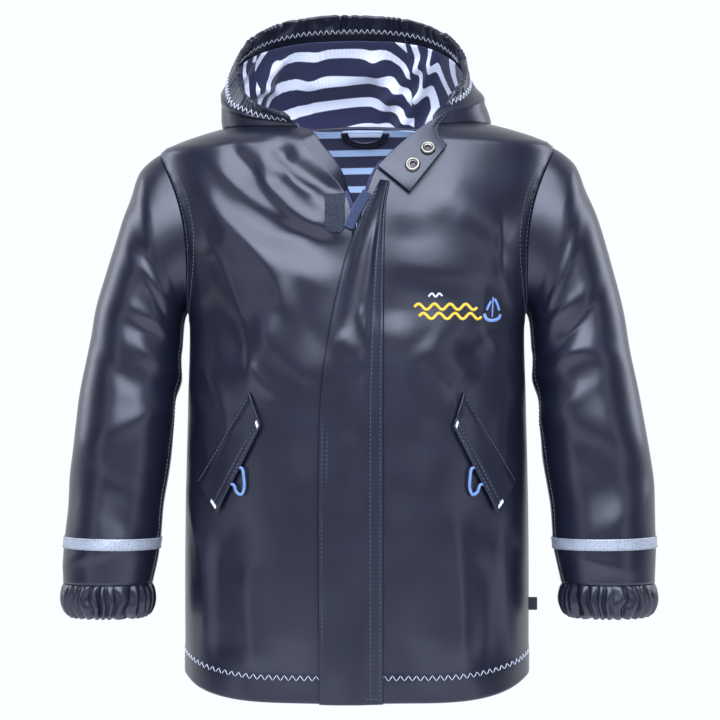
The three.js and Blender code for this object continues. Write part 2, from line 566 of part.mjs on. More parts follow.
// Pocket flaps: sewn along the upper edge, with a cord loop under the free edge
const pocket = { sewnTop: [92, -235], sewnLow: [138, -312], freeTop: [82, -263], freeLow: [120, -339] };
const pocketGrid = grid(8, 4, (u, v) => {
  const [x, z] = [0, 1].map((k) => mix(
    mix(pocket.sewnLow[k], pocket.freeLow[k], u), mix(pocket.sewnTop[k], pocket.freeTop[k], u), v));
  return onFront(x, z);
});
const pocketLift = (i) => (i === 0 ? 0.6 : 1.7 + 2.0 * i / 4);
const cordPlan = [
  { x: 99.6, z: -299.2, off: 4.7 }, { x: 97.3, z: -300.6, off: 4.7 }, { x: 96.4, z: -308, off: 4.2 },
  { x: 96.2, z: -317, off: 3.8 }, { x: 98.8, z: -322.6, off: 3.8 }, { x: 102.8, z: -320.4, off: 4 },
  { x: 104.5, z: -314.9, off: 4.7 }, { x: 106.7, z: -313.7, off: 4.7 },
];
function cordTube(side) {
  const sign = side === 'right' ? -1 : 1;
  const points = cordPlan.map(({ x, z, off }) => {
    const p = onFront(sign * x, z);
    return p.clone().addScaledVector(p.out, off);
  });
  const section = new THREE.Shape(Array.from({ length: 8 }, (_, i) => (
    new THREE.Vector2(CORD_RADIUS * Math.cos(turn * i / 8), CORD_RADIUS * Math.sin(turn * i / 8)))));
  const extrudePath = new THREE.CatmullRomCurve3(points);
  return new THREE.ExtrudeGeometry(section, { steps: 14, bevelEnabled: false, extrudePath });
}
for (const side of ['left', 'right']) {
  const rows = side === 'left' ? pocketGrid.map((row) => [...row].reverse()) : mirrored(pocketGrid)
    .map((row) => [...row].reverse());
  const lift = side === 'left' ? (i) => pocketLift(4 - i) : (i) => pocketLift(i);
  add(`pocket_flap_${side}`, wall(rows, lift, (i) => lift(i) + 2), shellCloth);
  add(`cord_loop_${side}`, cordTube(side), cordBlue);
}

// Inside the back of the neck: a bare label and the hanger loop; a bare label at the side seam
function insideBack(x, s) {
  const n = squareness(s);
  const y = read(bodyRings, 'back', s) * (1 - (Math.abs(x) / read(bodyRings, 'half', s)) ** n) ** (1 / n);
  return bodyPoint(Math.atan2(y, x), s);
}
const linedDepth = innerGap + LINING;
add('neck_label', wall(grid(2, 4, (u, v) => insideBack(mix(24, -13, u), mix(507, 521, v))),
  -linedDepth - 1.2, -linedDepth - 0.4), labelCloth);
const loopGrid = grid(10, 1, (u, v) => {
  const arc = Math.PI * v;
  const reach = mix(22.5, 16.5, u);
  return insideBack(7.5 - reach * Math.cos(arc), 519 - 1.45 * reach * Math.sin(arc));
});
add('hanger_loop', wall(loopGrid, -linedDepth - 3.4, -linedDepth - 1.8), shellCloth);
const TAG = { wide: 7.5, thick: 1, high: 11, from: 154.7, z: -425 };
const sideLabel = add('side_label', new THREE.BoxGeometry(TAG.wide, TAG.thick, TAG.high), labelBlack);
sideLabel.position.set(TAG.from + TAG.wide / 2, -1, TAG.z);

// The lean of the worn coat: from the chest up to the neck, points rise with their x
for (const mesh of coat.children) {
  mesh.updateMatrix();
  mesh.geometry.applyMatrix4(mesh.matrix);
  mesh.position.set(0, 0, 0);
  mesh.quaternion.identity();
  const points = mesh.geometry.attributes.position;
  for (let i = 0; i < points.count; i += 1) {
    const z = points.getZ(i);
    const share = smooth((z + 160) / 80) * (1 - smooth(z / 60));
    points.setZ(i, z + LEAN * points.getX(i) * share);
  }
}

export default coat;
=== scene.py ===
import math

import bpy
import numpy as np
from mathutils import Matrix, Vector


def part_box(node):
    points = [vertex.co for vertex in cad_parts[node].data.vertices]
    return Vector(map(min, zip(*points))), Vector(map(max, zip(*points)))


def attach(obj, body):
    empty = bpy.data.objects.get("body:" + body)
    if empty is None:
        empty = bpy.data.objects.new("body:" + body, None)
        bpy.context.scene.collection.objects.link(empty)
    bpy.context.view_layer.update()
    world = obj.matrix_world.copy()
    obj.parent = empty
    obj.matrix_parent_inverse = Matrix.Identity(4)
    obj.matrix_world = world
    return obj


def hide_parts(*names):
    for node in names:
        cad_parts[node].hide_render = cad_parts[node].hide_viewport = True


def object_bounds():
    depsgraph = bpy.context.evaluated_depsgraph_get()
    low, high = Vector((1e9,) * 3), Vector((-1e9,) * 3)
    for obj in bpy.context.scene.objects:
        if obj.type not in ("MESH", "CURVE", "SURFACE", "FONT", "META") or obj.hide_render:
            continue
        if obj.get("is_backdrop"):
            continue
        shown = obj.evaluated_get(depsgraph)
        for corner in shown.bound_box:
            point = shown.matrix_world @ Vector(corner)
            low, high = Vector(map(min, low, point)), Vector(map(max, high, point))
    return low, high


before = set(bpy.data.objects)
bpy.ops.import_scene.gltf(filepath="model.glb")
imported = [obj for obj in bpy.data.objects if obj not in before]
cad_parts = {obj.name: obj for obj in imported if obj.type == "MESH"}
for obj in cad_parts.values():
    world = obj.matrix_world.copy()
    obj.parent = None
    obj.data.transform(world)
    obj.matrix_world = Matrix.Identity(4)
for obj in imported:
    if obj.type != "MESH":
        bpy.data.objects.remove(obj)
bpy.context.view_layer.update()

# Studio. The camera stands level with the middle of the coat, 2.4 m away, as for a garment shot
# filled out with no wearer. A white backdrop lights the coat's sides from behind, and soft boxes
# in front lay broad pale patches on the coated cloth.
def linear(colour):
    """An sRGB hex colour as the linear values that the shader takes."""
    parts = [int(colour[i:i + 2], 16) / 255 for i in (1, 3, 5)]
    return [p / 12.92 if p <= 0.04045 else ((p + 0.055) / 1.055) ** 2.4 for p in parts] + [1.0]


def put(name, data):
    """A new object in the scene."""
    item = bpy.data.objects.new(name, data)
    bpy.context.scene.collection.objects.link(item)
    return item


def add(tree, kind, inputs=None, to=None, **settings):
    """Adds a node with its settings, and its inputs as values or as links from sockets.
    Its first output in use goes to a socket, where one is given."""
    node = tree.nodes.new(kind)
    for key, value in settings.items():
        setattr(node, key, value)
    for key, value in (inputs or {}).items():
        if isinstance(value, bpy.types.NodeSocket):
            tree.links.new(value, node.inputs[key])
        else:
            node.inputs[key].default_value = value
    if to is not None:
        tree.links.new(next(socket for socket in node.outputs if socket.enabled), to)
    return node


def start_material(name, values=None):
    """A new material, with values on its shader's own sockets."""
    material = bpy.data.materials.new(name)
    material.use_nodes = True
    skin = material.node_tree.nodes["Principled BSDF"]
    for key, value in (values or {}).items():
        skin.inputs[key].default_value = value
    return material, material.node_tree, skin


def plain(name, colour, roughness, sheen=0.0):
    """A material of one colour."""
    return start_material(name, {"Base Color": linear(colour), "Roughness": roughness,
                                 "Sheen Weight": sheen})[0]


camera = put("camera", bpy.data.cameras.new("camera"))
camera.location = (0.0027, -2.4, -0.206)
camera.rotation_euler = (math.radians(90), 0, 0)
camera.data.lens = 133.3
camera.data.sensor_width = 36
bpy.context.scene.camera = camera
bpy.context.scene.view_settings.view_transform = "Standard"

world = bpy.data.worlds.new("white_backdrop")
world.use_nodes = True
bpy.context.scene.world = world
sky = world.node_tree
direction = add(sky, "ShaderNodeTexCoord").outputs["Generated"]
depth = add(sky, "ShaderNodeSeparateXYZ", {"Vector": direction}).outputs["Y"]
backdrop = sky.nodes["Background"]
backdrop.inputs["Color"].default_value = linear("#f6f9ff")
add(sky, "ShaderNodeMapRange", {"Value": depth, "From Min": -0.25, "From Max": 0.45, "To Min": 0.10,
                                "To Max": 1.05}, to=backdrop.inputs["Strength"],
    interpolation_type="SMOOTHSTEP")

soft_boxes = [
    # name, place, aim, width, height, watts
    ("front_box", (0, -1.85, 1.02), (0, 0, -0.05), 2.4, 1.25, 104),
    ("left_box", (-1.6, -1.4, -0.1), (0, 0, -0.2), 0.35, 1.4, 4),
    ("right_box", (1.6, -1.4, -0.1), (0, 0, -0.2), 0.35, 1.4, 4),
    ("low_box", (0, -1.6, -0.9), (0, 0, 0), 1.6, 0.3, 3),
    ("left_strip", (-1.25, 0.4, 0.3), (0, 0, 0), 0.5, 0.9, 7),
    ("right_strip", (1.25, 0.4, 0.3), (0, 0, 0), 0.5, 0.9, 7),
    ("top_strip", (0, -0.9, 1.5), (0, 0, 0), 2.0, 0.7, 44),
]
for name, place, aim, width, height, watts in soft_boxes:
    box = bpy.data.lights.new(name, "AREA")
    box.shape = "RECTANGLE"
    box.size, box.size_y, box.energy = width, height, watts
    box.color = linear("#dfe7ff")[:3]
    lamp = put(name, box)
    lamp.location = place
    lamp.rotation_euler = (Vector(aim) - Vector(place)).to_track_quat("-Z", "Y").to_euler()

floor_mesh = bpy.data.meshes.new("floor")
floor_mesh.from_pydata([(-1.9, -1.9, -0.78), (1.9, -1.9, -0.78), (1.9, 1.5, -0.78), (-1.9, 1.5, -0.78)],
                       [], [(0, 1, 2, 3)])
floor = put("floor", floor_mesh)
floor_mesh.materials.append(plain("matt_background_paper", "#f2f3f5", 0.9))
floor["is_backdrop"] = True

# Cord loops under the pocket flaps: a braided polyester cord, 2.5 mm thick, doubled and caught in
# the flap's lower seam. They hang on the coat's fronts, so the coat's own form comes with them.
# Sizes are in millimetres, and turn to metres where a mesh is made.
FULL_TURN = 2 * math.pi
CLOTH = 1.4          # coated shell cloth
LINING = 1.0         # striped jersey
LEAN = 0.017         # the worn coat leans: its left shoulder lies higher than its right
SEAM_GAP = 0.4       # between pieces that are sewn together
HEM_SIDE_Z = -483    # hem level at the side seams
UNDERARM, SHOULDER_TIP, NECK = 320, 466, 525  # stations up the side seam from the hem
ARM_MID, ARM_HALF = (UNDERARM + SHOULDER_TIP) / 2, (SHOULDER_TIP - UNDERARM) / 2
ARM_DEEP = {-1: 50, 1: 47}  # on the front and on the back
FACE = {-1: "front", 1: "back"}

body_rings = {
    "at": (0, 120, 240, 300, 320, 370, 420, 450, 466, 482, 503, 525),
    "z": (-483, -363, -243, -183, -163, -113, -63, -33, -18, -10, -3, 3),
    "half": (154, 154, 151.5, 150, 151.5, 161, 171, 176.5, 176, 162, 142, 121),
    "front": (98, 100, 101, 100, 99, 96, 90, 84, 80, 76, 71, 66),
    "back": (93, 94, 92, 91, 90, 88, 83, 78, 74, 70, 66, 61),
    "front_drop": (20, 10, 3, 0, 0, 0, 0, 0, 0, 1, 3, 6),
    "back_drop": (22, 11, 3, 0, 0, 0, 0, 0, 0, -1, -3, -6),
}

# The largest folds of the body, as the part has them, then the finer ones that the cloth shows, in
# the same columns
body_folds = [
    # face, x1, z1, x2, z2, wide, high, bend, steep
    (-1, -58, -30, -24, -84, 9, 3, 0, 1), (-1, -112, -42, -24, -118, 12, -4, 0, 1),
    (-1, -138, -84, -42, -142, 14, 4, 0, 1), (-1, -140, -150, -96, -202, 10, -4, 0, 1),
    (-1, -58, -152, -95, -228, 15, 3.5, 0, 1), (-1, -118, -345, -112, -470, 15, -3, 0, 1),
    (-1, -48, -300, -58, -462, 18, 3, 0, 1), (-1, 70, -62, 138, -108, 16, 4, 0, 1),
    (-1, 44, -92, 34, -172, 12, -3, 0, 1), (-1, 140, -150, 98, -206, 10, -4, 0, 1),
    (-1, 58, -196, 92, -226, 12, 3, 0, 1), (-1, 124, -348, 116, -474, 15, -3, 0, 1),
    (-1, 58, -300, 72, -468, 18, 3, 0, 1), (1, -112, -62, -36, -150, 15, -3, 0, 1),
    (1, 116, -56, 44, -160, 15, -3.5, 0, 1), (1, -138, -150, -92, -216, 11, -4, 0, 1),
    (1, 138, -152, 96, -208, 11, -4, 0, 1), (1, -58, -250, -80, -455, 19, 3.5, 0, 1),
    (1, 52, -226, 74, -462, 19, 3, 0, 1), (1, -4, -130, 6, -400, 20, -3, 0, 1),
]
body_creases = [
    (-1, -70, -20, -16, -62, 7, -5.0, 4, 0.8), (-1, -84, -40, -30, -92, 6, 3.0, 6, 0.6),
    (-1, -60, -44, -36, -60, 3, 1.2, 2, 1), (-1, -112, -16, -66, -52, 6, -2.2, 4, 0.8),
    (-1, -128, -30, -22, -96, 7, 2.2, 10, 0.5), (-1, -126, -52, -60, -100, 6, -1.6, 8, 1),
    (-1, -144, -60, -60, -160, 7, 1.8, -12, 0.6), (-1, -131, -96, -92, -226, 4, 1.3, -8, 0.6),
    (-1, -140, -118, -100, -180, 4, -1.2, 6, 1), (-1, -84, -176, -34, -222, 12, 1.8, 4, 0.6),
    (-1, -60, -90, -34, -190, 7, -1.2, 6, 1), (-1, -92, -210, -74, -236, 3, 1.2, 2, 0.6),
    (-1, -134, -214, -112, -266, 6, 2.0, -3, 0.7), (-1, -146, -250, -136, -300, 4, -1.1, 3, 1),
    (-1, -146, -330, -132, -452, 7, 2.6, -4, 0.6), (-1, -124, -372, -122, -466, 6, -2.2, 3, 1),
    (-1, -98, -392, -90, -470, 9, 2.2, 3, 0.7), (-1, 36, -120, 142, -128, 26, 3.4, 4, 0.4),
    (-1, -166, -100, -128, -114, 9, 2.6, 0, 0.35), (-1, -150, -84, -120, -98, 6, -2.0, 0, 1),
    (-1, 96, -92, 146, -118, 6, -1.3, 5, 1), (-1, 60, -186, 128, -168, 15, 1.8, -5, 0.6),
    (-1, 124, -86, 134, -150, 3.5, 1.3, 5, 0.6), (-1, 138, -96, 146, -140, 3, -1.0, 3, 1),
    (-1, 110, -150, 124, -196, 4, 1.2, 4, 0.7), (-1, 76, -222, 84, -256, 3.5, 1.4, -2, 0.6),
    (-1, 52, -206, 66, -262, 7, -1.0, 3, 1), (-1, 138, -226, 126, -290, 6, 2.0, 3, 1),
    (-1, 134, -330, 140, -462, 7, 2.5, 4, 0.6), (-1, 112, -384, 112, -470, 7, -2.2, -3, 1),
    (-1, 40, -330, 44, -470, 9, -1.4, 4, 1), (-1, 84, -350, 92, -466, 9, 2.2, -3, 0.7),
    (1, -130, -40, -60, -84, 8, 1.8, 8, 0.6), (1, 128, -44, 52, -92, 8, 1.8, -8, 0.6),
    (1, -140, -104, -84, -176, 6, 1.5, -7, 0.7), (1, 142, -110, 90, -184, 6, 1.5, 6, 0.7),
    (1, -60, -78, 54, -84, 9, -1.5, -9, 1), (1, -36, -186, -50, -330, 9, 1.3, 6, 1),
    (1, 28, -196, 30, -360, 9, 1.2, -6, 1), (1, -118, -230, -122, -330, 7, -1.4, 5, 1),
    (1, 116, -232, 122, -340, 7, -1.3, -5, 1), (1, -112, -350, -106, -478, 8, 1.8, -4, 0.7),
    (1, 108, -352, 112, -478, 8, 1.6, 4, 0.7), (1, -30, -400, -26, -492, 8, 1.2, 3, 1),
    (1, 34, -404, 38, -490, 7, -1.2, 3, 1), (1, -138, -400, -136, -474, 5, -1.2, 2, 1),
    (1, 140, -396, 136, -474, 5, -1.2, -2, 1),
]


def smooth(value):
    t = np.clip(value, 0, 1)
    return t * t * (3 - 2 * t)


def mix(a, b, t):
    return a + (b - a) * t


def read(table, column, at):
    """One column of a table between its rows, on a smooth curve through them."""
    value = np.array(table[column], float)
    place = np.array(table.get("at", range(len(value))), float)
    order = np.arange(len(place))
    low, high = np.maximum(order - 1, 0), np.minimum(order + 1, len(place) - 1)
    slope = (value[high] - value[low]) / (place[high] - place[low])
    k = np.clip(np.searchsorted(place, at) - 1, 0, len(place) - 2)
    span = place[k + 1] - place[k]
    t = np.clip((at - place[k]) / span, 0, 1)
    return (value[k] * (2 * t**3 - 3 * t**2 + 1) + value[k + 1] * (3 * t**2 - 2 * t**3)
            + span * (slope[k] * (t**3 - 2 * t**2 + t) + slope[k + 1] * (t**3 - t**2)))


def fold_height(x1, z1, x2, z2, wide, high, bend, steep, x, z):
    """Height of one soft fold: it runs from one place to the other, bowed by bend, and falls
    off in wide on one side and in wide times steep on the other."""
    length = math.hypot(x2 - x1, z2 - z1)
    along = ((x - x1) * (x2 - x1) + (z - z1) * (z2 - z1)) / length**2
    off = ((x - x1) * (z2 - z1) - (z - z1) * (x2 - x1)) / length - bend * 4 * along * (1 - along)
    ends = smooth((along + 0.2) / 0.35) * smooth((1.2 - along) / 0.35)
    return high * ends * np.exp(-0.5 * (off / (wide * np.where(off > 0, steep, 1))) ** 2)


def squareness(s):
    return mix(2.6, 2.3, smooth((s - 400) / 125))


def plain_body(angle, s):
    front = np.sin(angle) < 0
    half = read(body_rings, "half", s)
    deep = np.where(front, read(body_rings, "front", s), read(body_rings, "back", s))
    drop = np.where(front, read(body_rings, "front_drop", s), read(body_rings, "back_drop", s))
    n = squareness(s)
    r = (np.abs(np.cos(angle) / half) ** n + np.abs(np.sin(angle) / deep) ** n) ** (-1 / n)
    share = 1 - np.abs(np.cos(angle)) ** mix(9, 2, smooth(s / 300))
    level = read(body_rings, "z", s) - drop * share
    return np.stack(np.broadcast_arrays(r * np.cos(angle), r * np.sin(angle), level), -1)


def leaned(point):
    """The coat's lean: from the chest up to the neck, points rise with their x."""
    x, z = point[..., 0], point[..., 2]
    rise = LEAN * x * smooth((z + 160) / 80) * (1 - smooth(z / 60))
    return point + rise[..., None] * np.array([0, 0, 1])


def unit(v):
    return v / np.maximum(np.linalg.norm(v, axis=-1, keepdims=True), 1e-9)


def body(angle, s):
    """Points of the coat's body, and the direction that faces out of it there."""
    angle, s = np.broadcast_arrays(np.asarray(angle, float), np.asarray(s, float))
    point = plain_body(angle, s)
    across = plain_body(angle + 0.02, s) - plain_body(angle - 0.02, s)
    up = plain_body(angle, np.minimum(s + 3, NECK)) - plain_body(angle, np.maximum(s - 3, 0))
    out = unit(np.cross(across, up))
    from_side = np.arccos(np.clip(np.abs(np.cos(angle)), 0, 1))
    arm_zone = math.radians(20) * smooth((s - UNDERARM + 40) / 60) * smooth((NECK - 10 - s) / 40)
    calm = smooth((from_side - arm_zone) / math.radians(14)) * smooth((NECK - s) / 40)
    high = 1.6 * np.sin(7 * angle + 0.6) * smooth((90 - s) / 90) * smooth(from_side / 0.3)
    for face, *fold in body_folds + body_creases:
        here = np.sign(np.sin(angle)) == face
        high = high + np.where(here, fold_height(*fold, point[..., 0], point[..., 2]), 0)
    return point + out * (high * calm)[..., None], out


def ring_angle(x, s, face=-1):
    """Angle of a place on the front or the back, given its x."""
    n, half, deep = squareness(s), read(body_rings, "half", s), read(body_rings, FACE[face], s)
    y = face * deep * (1 - np.minimum(0.999, np.abs(x) / half) ** n) ** (1 / n)
    return np.arctan2(y, x) % FULL_TURN


def on_front(x, z):
    x, z = np.broadcast_arrays(np.asarray(x, float), np.asarray(z, float))
    s = z - HEM_SIDE_Z
    for _ in range(30):
        s = np.clip(s + (z - plain_body(ring_angle(x, s), s)[..., 2]), 0, NECK - 1)
    return body(ring_angle(x, s), s)


def run_along(point, axis=0):
    """How far along its line each point lies."""
    first = np.take(point, [0], axis)
    return np.cumsum(np.linalg.norm(np.diff(point, axis=axis, prepend=first), axis=-1), axis=axis)


def along_line(line, places):
    """Values of a line of points at places measured along it."""
    run = run_along(line[..., :3])
    return np.stack([np.interp(places, run, line[:, k]) for k in range(line.shape[1])], -1)


def through(points, count):
    """A smooth curve through a few points."""
    points = np.asarray(points, float)
    table = {k: points[:, k] for k in range(points.shape[1])}
    at = np.linspace(0, len(points) - 1, count)
    return np.stack([read(table, k, at) for k in range(points.shape[1])], -1)


def surface(name, verts, faces, materials):
    """A smooth mesh from points in millimetres, leaned as the coat is."""
    mesh = bpy.data.meshes.new(name)
    mesh.from_pydata((leaned(verts) / 1000).tolist(), [], faces.tolist())
    for material in materials:
        mesh.materials.append(material)
    mesh.polygons.foreach_set("use_smooth", np.ones(len(mesh.polygons), bool))
    return put(name, mesh)


def place(piece, slot, *nodes):
    """The piece rides on the coat and stands for these nodes; slot is not used."""
    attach(piece, "root")
    if nodes:
        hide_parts(*nodes)
    return piece


def pattern(tree, kind, pitch, inputs=None, **settings):
    """A texture on the object's own coordinates, with its features this many metres apart."""
    spot = add(tree, "ShaderNodeTexCoord").outputs["Object"]
    return add(tree, kind, {"Vector": spot, "Scale": 1 / pitch, **(inputs or {})}, **settings)


def two_toned(name, values, kind, pitch, tones, strength, depth, inputs=None):
    """A material whose fine pattern shows in two tones and in relief."""
    material, tree, skin = start_material(name, values)
    fine = pattern(tree, kind, pitch, inputs).outputs[0]
    add(tree, "ShaderNodeMix", {"Factor": fine, "A": linear(tones[0]), "B": linear(tones[1])},
        to=skin.inputs["Base Color"], data_type="RGBA")
    add(tree, "ShaderNodeBump", {"Height": fine, "Strength": strength, "Distance": depth},
        to=skin.inputs["Normal"])
    return material


# Braided polyester: a soft satin blue with the crossing strands of the braid, 1.2 mm apart
braid = two_toned("braided_polyester_cord", {"Roughness": 0.62, "Sheen Weight": 0.2},
                  "ShaderNodeTexVoronoi", 0.0012, ("#7397c4", "#33527f"), 0.5, 0.0004)

cord_plan = [
    # x, z, stand off the front
    (99.6, -299.2, 4.7), (97.3, -300.6, 4.7), (96.4, -308, 4.2), (96.2, -317, 3.8),
    (98.8, -322.6, 3.8), (102.8, -320.4, 4), (104.5, -314.9, 4.7), (106.7, -313.7, 4.7),
]
for side, sign in (("left", 1), ("right", -1)):
    stops = []
    for x, z, stand in cord_plan:
        spot_on, out = on_front(sign * x, z)
        stops.append(spot_on + out * stand)
    route = leaned(through(stops, 40)) / 1000
    curve = bpy.data.curves.new(f"pocket_cord_{side}", "CURVE")
    curve.dimensions = "3D"
    curve.bevel_depth = 0.00125
    curve.bevel_resolution = 3
    curve.use_fill_caps = True
    spline = curve.splines.new("POLY")
    spline.points.add(len(route) - 1)
    for point, (x, y, z) in zip(spline.points, route):
        point.co = (x, y, z, 1)
    curve.materials.append(braid)
    loop = put(f"pocket_cord_{side}", curve)
    place(loop, "pocket_cord", f"cord_loop_{side}")

# Front panels: knitted polyester coated with polyurethane, lined with striped jersey. Each runs
# from the zip to the side seam, with the armhole cut out, and its hem is turned up 20 mm and held
# by a white zigzag. The panels are sewn with a small allowance, so their edges sink at the seams.
right_edge = {"at": (0, 399, 410, 426, 443, 459, 480, 525),
              "x": (-4.3, -4.3, -6, -13, -27, -41, -49, -52)}
left_edge = {"at": (0, 399, 419, 444, 463, 490, 525), "x": (3.3, 3.3, 8, 18, 36, 55, 66)}
HEM_TURN = 20
STITCH = 0.24  # radius of the sewing thread
ARMHOLE_ROWS = (2.2, 9.6)  # how far the rows of stitching lie from the armhole


def wall(name, point, out, low, high, materials, closed=False, edge=0.12, cut=None):
    """A cloth wall over a grid of points: an outer face, an inner face, and a rounded rim.
    cut gives each point's place on the flat cloth, in millimetres, for the pattern."""
    nv, nu = point.shape[:2]
    face = [point + out * np.broadcast_to(h, (nv, nu))[..., None] for h in (high, low)]
    j, i = np.mgrid[0:nv - 1, 0:nu if closed else nu - 1]
    if closed:
        loops = [[(0, k) for k in range(nu + 1)], [(nv - 1, k) for k in range(nu, -1, -1)]]
    else:
        loops = [[(0, k) for k in range(nu)] + [(k, nu - 1) for k in range(1, nv)]
                 + [(nv - 1, k) for k in range(nu - 2, -1, -1)] + [(k, 0) for k in range(nv - 2, -1, -1)]]
    rims = []
    for loop in loops:
        jj, ii = np.array(loop).T
        inner_i = ii % nu if closed else np.clip(ii, 1, nu - 2)
        away = unit(point[jj, ii % nu] - point[np.clip(jj, 1, nv - 2), inner_i])
        rims.append((face[0][jj, ii % nu] + face[1][jj, ii % nu]) / 2 + away * edge)
    verts = np.concatenate([face[0].reshape(-1, 3), face[1].reshape(-1, 3), *rims])
    wide = nu + 1 if closed else nu

    def corner(side, jj, ii):
        return side * nv * nu + jj * nu + ii % nu, jj * wide + ii

    steps = [(0, 0), (0, 1), (1, 1), (1, 0)]
    quads = [[corner(0, j + a, i + b) for a, b in steps],
             [corner(1, j + a, i + b) for a, b in steps[::-1]]]
    ids = [np.stack([c[0].ravel() for c in q], -1) for q in quads]
    spots = [np.stack([c[1].ravel() for c in q], -1) for q in quads]
    slots = [np.zeros(len(ids[0]), int), np.full(len(ids[1]), len(materials) - 1)]
    first = 2 * nv * nu
    for loop, rim in zip(loops, rims):
        jj, ii = np.array(loop).T
        top, flat = corner(0, jj, ii)
        under = corner(1, jj, ii)[0]
        middle = first + np.arange(len(loop))
        for upper, lower in ((top, middle), (middle, under)):
            ids.append(np.stack([upper[1:], upper[:-1], lower[:-1], lower[1:]], -1))
            spots.append(np.stack([flat[1:], flat[:-1], flat[:-1], flat[1:]], -1))
            slots.append(np.zeros(len(loop) - 1, int))
        first += len(loop)
    piece = surface(name, verts, np.concatenate(ids), materials)
    piece.data.polygons.foreach_set("material_index", np.concatenate(slots).astype(np.int32))
    if cut is not None:
        layer = piece.data.uv_layers.new(name="flat_cloth")
        layer.data.foreach_set("uv", (cut.reshape(-1, 2)[np.concatenate(spots).ravel()] / 1000).ravel())
    return piece


def thread(name, strands, ups, radius, material, sides=5):
    """Many short threads as one mesh: each is a row of points, thinner at both ends."""
    strands, ups = np.asarray(strands, float), np.asarray(ups, float)
    count, k = strands.shape[:2]
    run = unit(np.gradient(strands, axis=1))
    across = unit(np.cross(run, ups))
    up = np.cross(across, run)
    round_it = np.arange(sides) * FULL_TURN / sides
    taper = np.ones(k)
    taper[[0, -1]] = 0.3
    ring = (across[:, :, None] * np.cos(round_it)[:, None] + up[:, :, None] * np.sin(round_it)[:, None])
    verts = strands[:, :, None] + ring * (radius * taper)[None, :, None, None]
    n, i, c = np.mgrid[0:count, 0:k - 1, 0:sides]
    at = lambda i, c: ((n * k + i) * sides + c % sides).ravel()
    faces = np.stack([at(i, c), at(i, c + 1), at(i + 1, c + 1), at(i + 1, c)], -1)
    return surface(name, verts.reshape(-1, 3), faces, [material])


def sew(name, rows, material, radius=STITCH, sides=5, turned=1, slot="shell_cloth"):
    """Rows of stitches as one piece of the coat; turned carries them to the other sleeve."""
    strands, ups = (np.concatenate(part) * turned for part in zip(*rows))
    return place(thread(name, strands, ups, radius, material, sides), slot)


def lockstitch(point, out, length=2.4, gap=1.4):
    """A row of straight stitches that lie on the cloth and dive into it at both ends."""
    line = np.concatenate([point, out], -1)
    begin = np.arange(int(run_along(point)[-1] / (length + gap)))[:, None] * (length + gap)
    found = along_line(line, begin + np.array([0, 0.25, 0.5, 0.75, 1]) * length)
    up = unit(found[..., 3:])
    return found[..., :3] + up * np.array([-0.15, 0.22, 0.3, 0.22, -0.15])[:, None], up


def zigzag(point, out, period=6.9, height=5.0):
    """A row of zigzag stitches: one strand a stroke, from one side of the row to the other."""
    line = np.concatenate([point, out], -1)
    half = period / 2
    begin = np.arange(int(run_along(point)[-1] / half))[:, None] * half
    share = np.array([0.03, 0.25, 0.5, 0.75, 0.97])
    found = along_line(line, begin + share * half)
    up = unit(found[..., 3:])
    across = unit(np.cross(np.gradient(found[..., :3], axis=1), up))
    swing = np.where(np.arange(len(begin)) % 2, -1, 1)[:, None] * (share - 0.5) * height
    return (found[..., :3] + across * swing[..., None]
            + up * np.array([0.0, 0.3, 0.38, 0.3, 0.0])[:, None]), up


# Polyurethane film: deep navy, smooth to the hand with a very fine moulded grain. It gives wide
# soft reflections, pale at the edges, on an almost black ground. The grain is about 0.3 mm and is
# drawn at 1.1 mm so that it shows; a slow unevenness of 30 mm keeps the reflections from being flat.
coated, tree, skin = start_material("polyurethane_coated_knit", {"IOR": 1.5})
grain = pattern(tree, "ShaderNodeTexNoise", 0.0011, {"Detail": 3.0, "Roughness": 0.6})
slow = pattern(tree, "ShaderNodeTexNoise", 0.03, {"Detail": 2.0, "Roughness": 0.5})
add(tree, "ShaderNodeMix", {"Factor": slow.outputs["Fac"], "A": linear("#0d0f1a"),
                            "B": linear("#131623")}, to=skin.inputs["Base Color"], data_type="RGBA")
add(tree, "ShaderNodeMapRange", {"Value": slow.outputs["Fac"], "To Min": 0.30, "To Max": 0.36},
    to=skin.inputs["Roughness"])
wave = add(tree, "ShaderNodeBump", {"Height": slow.outputs["Fac"], "Strength": 0.25, "Distance": 0.0015})
add(tree, "ShaderNodeBump", {"Height": grain.outputs["Fac"], "Strength": 0.12, "Distance": 0.0003,
                             "Normal": wave.outputs["Normal"]}, to=skin.inputs["Normal"])


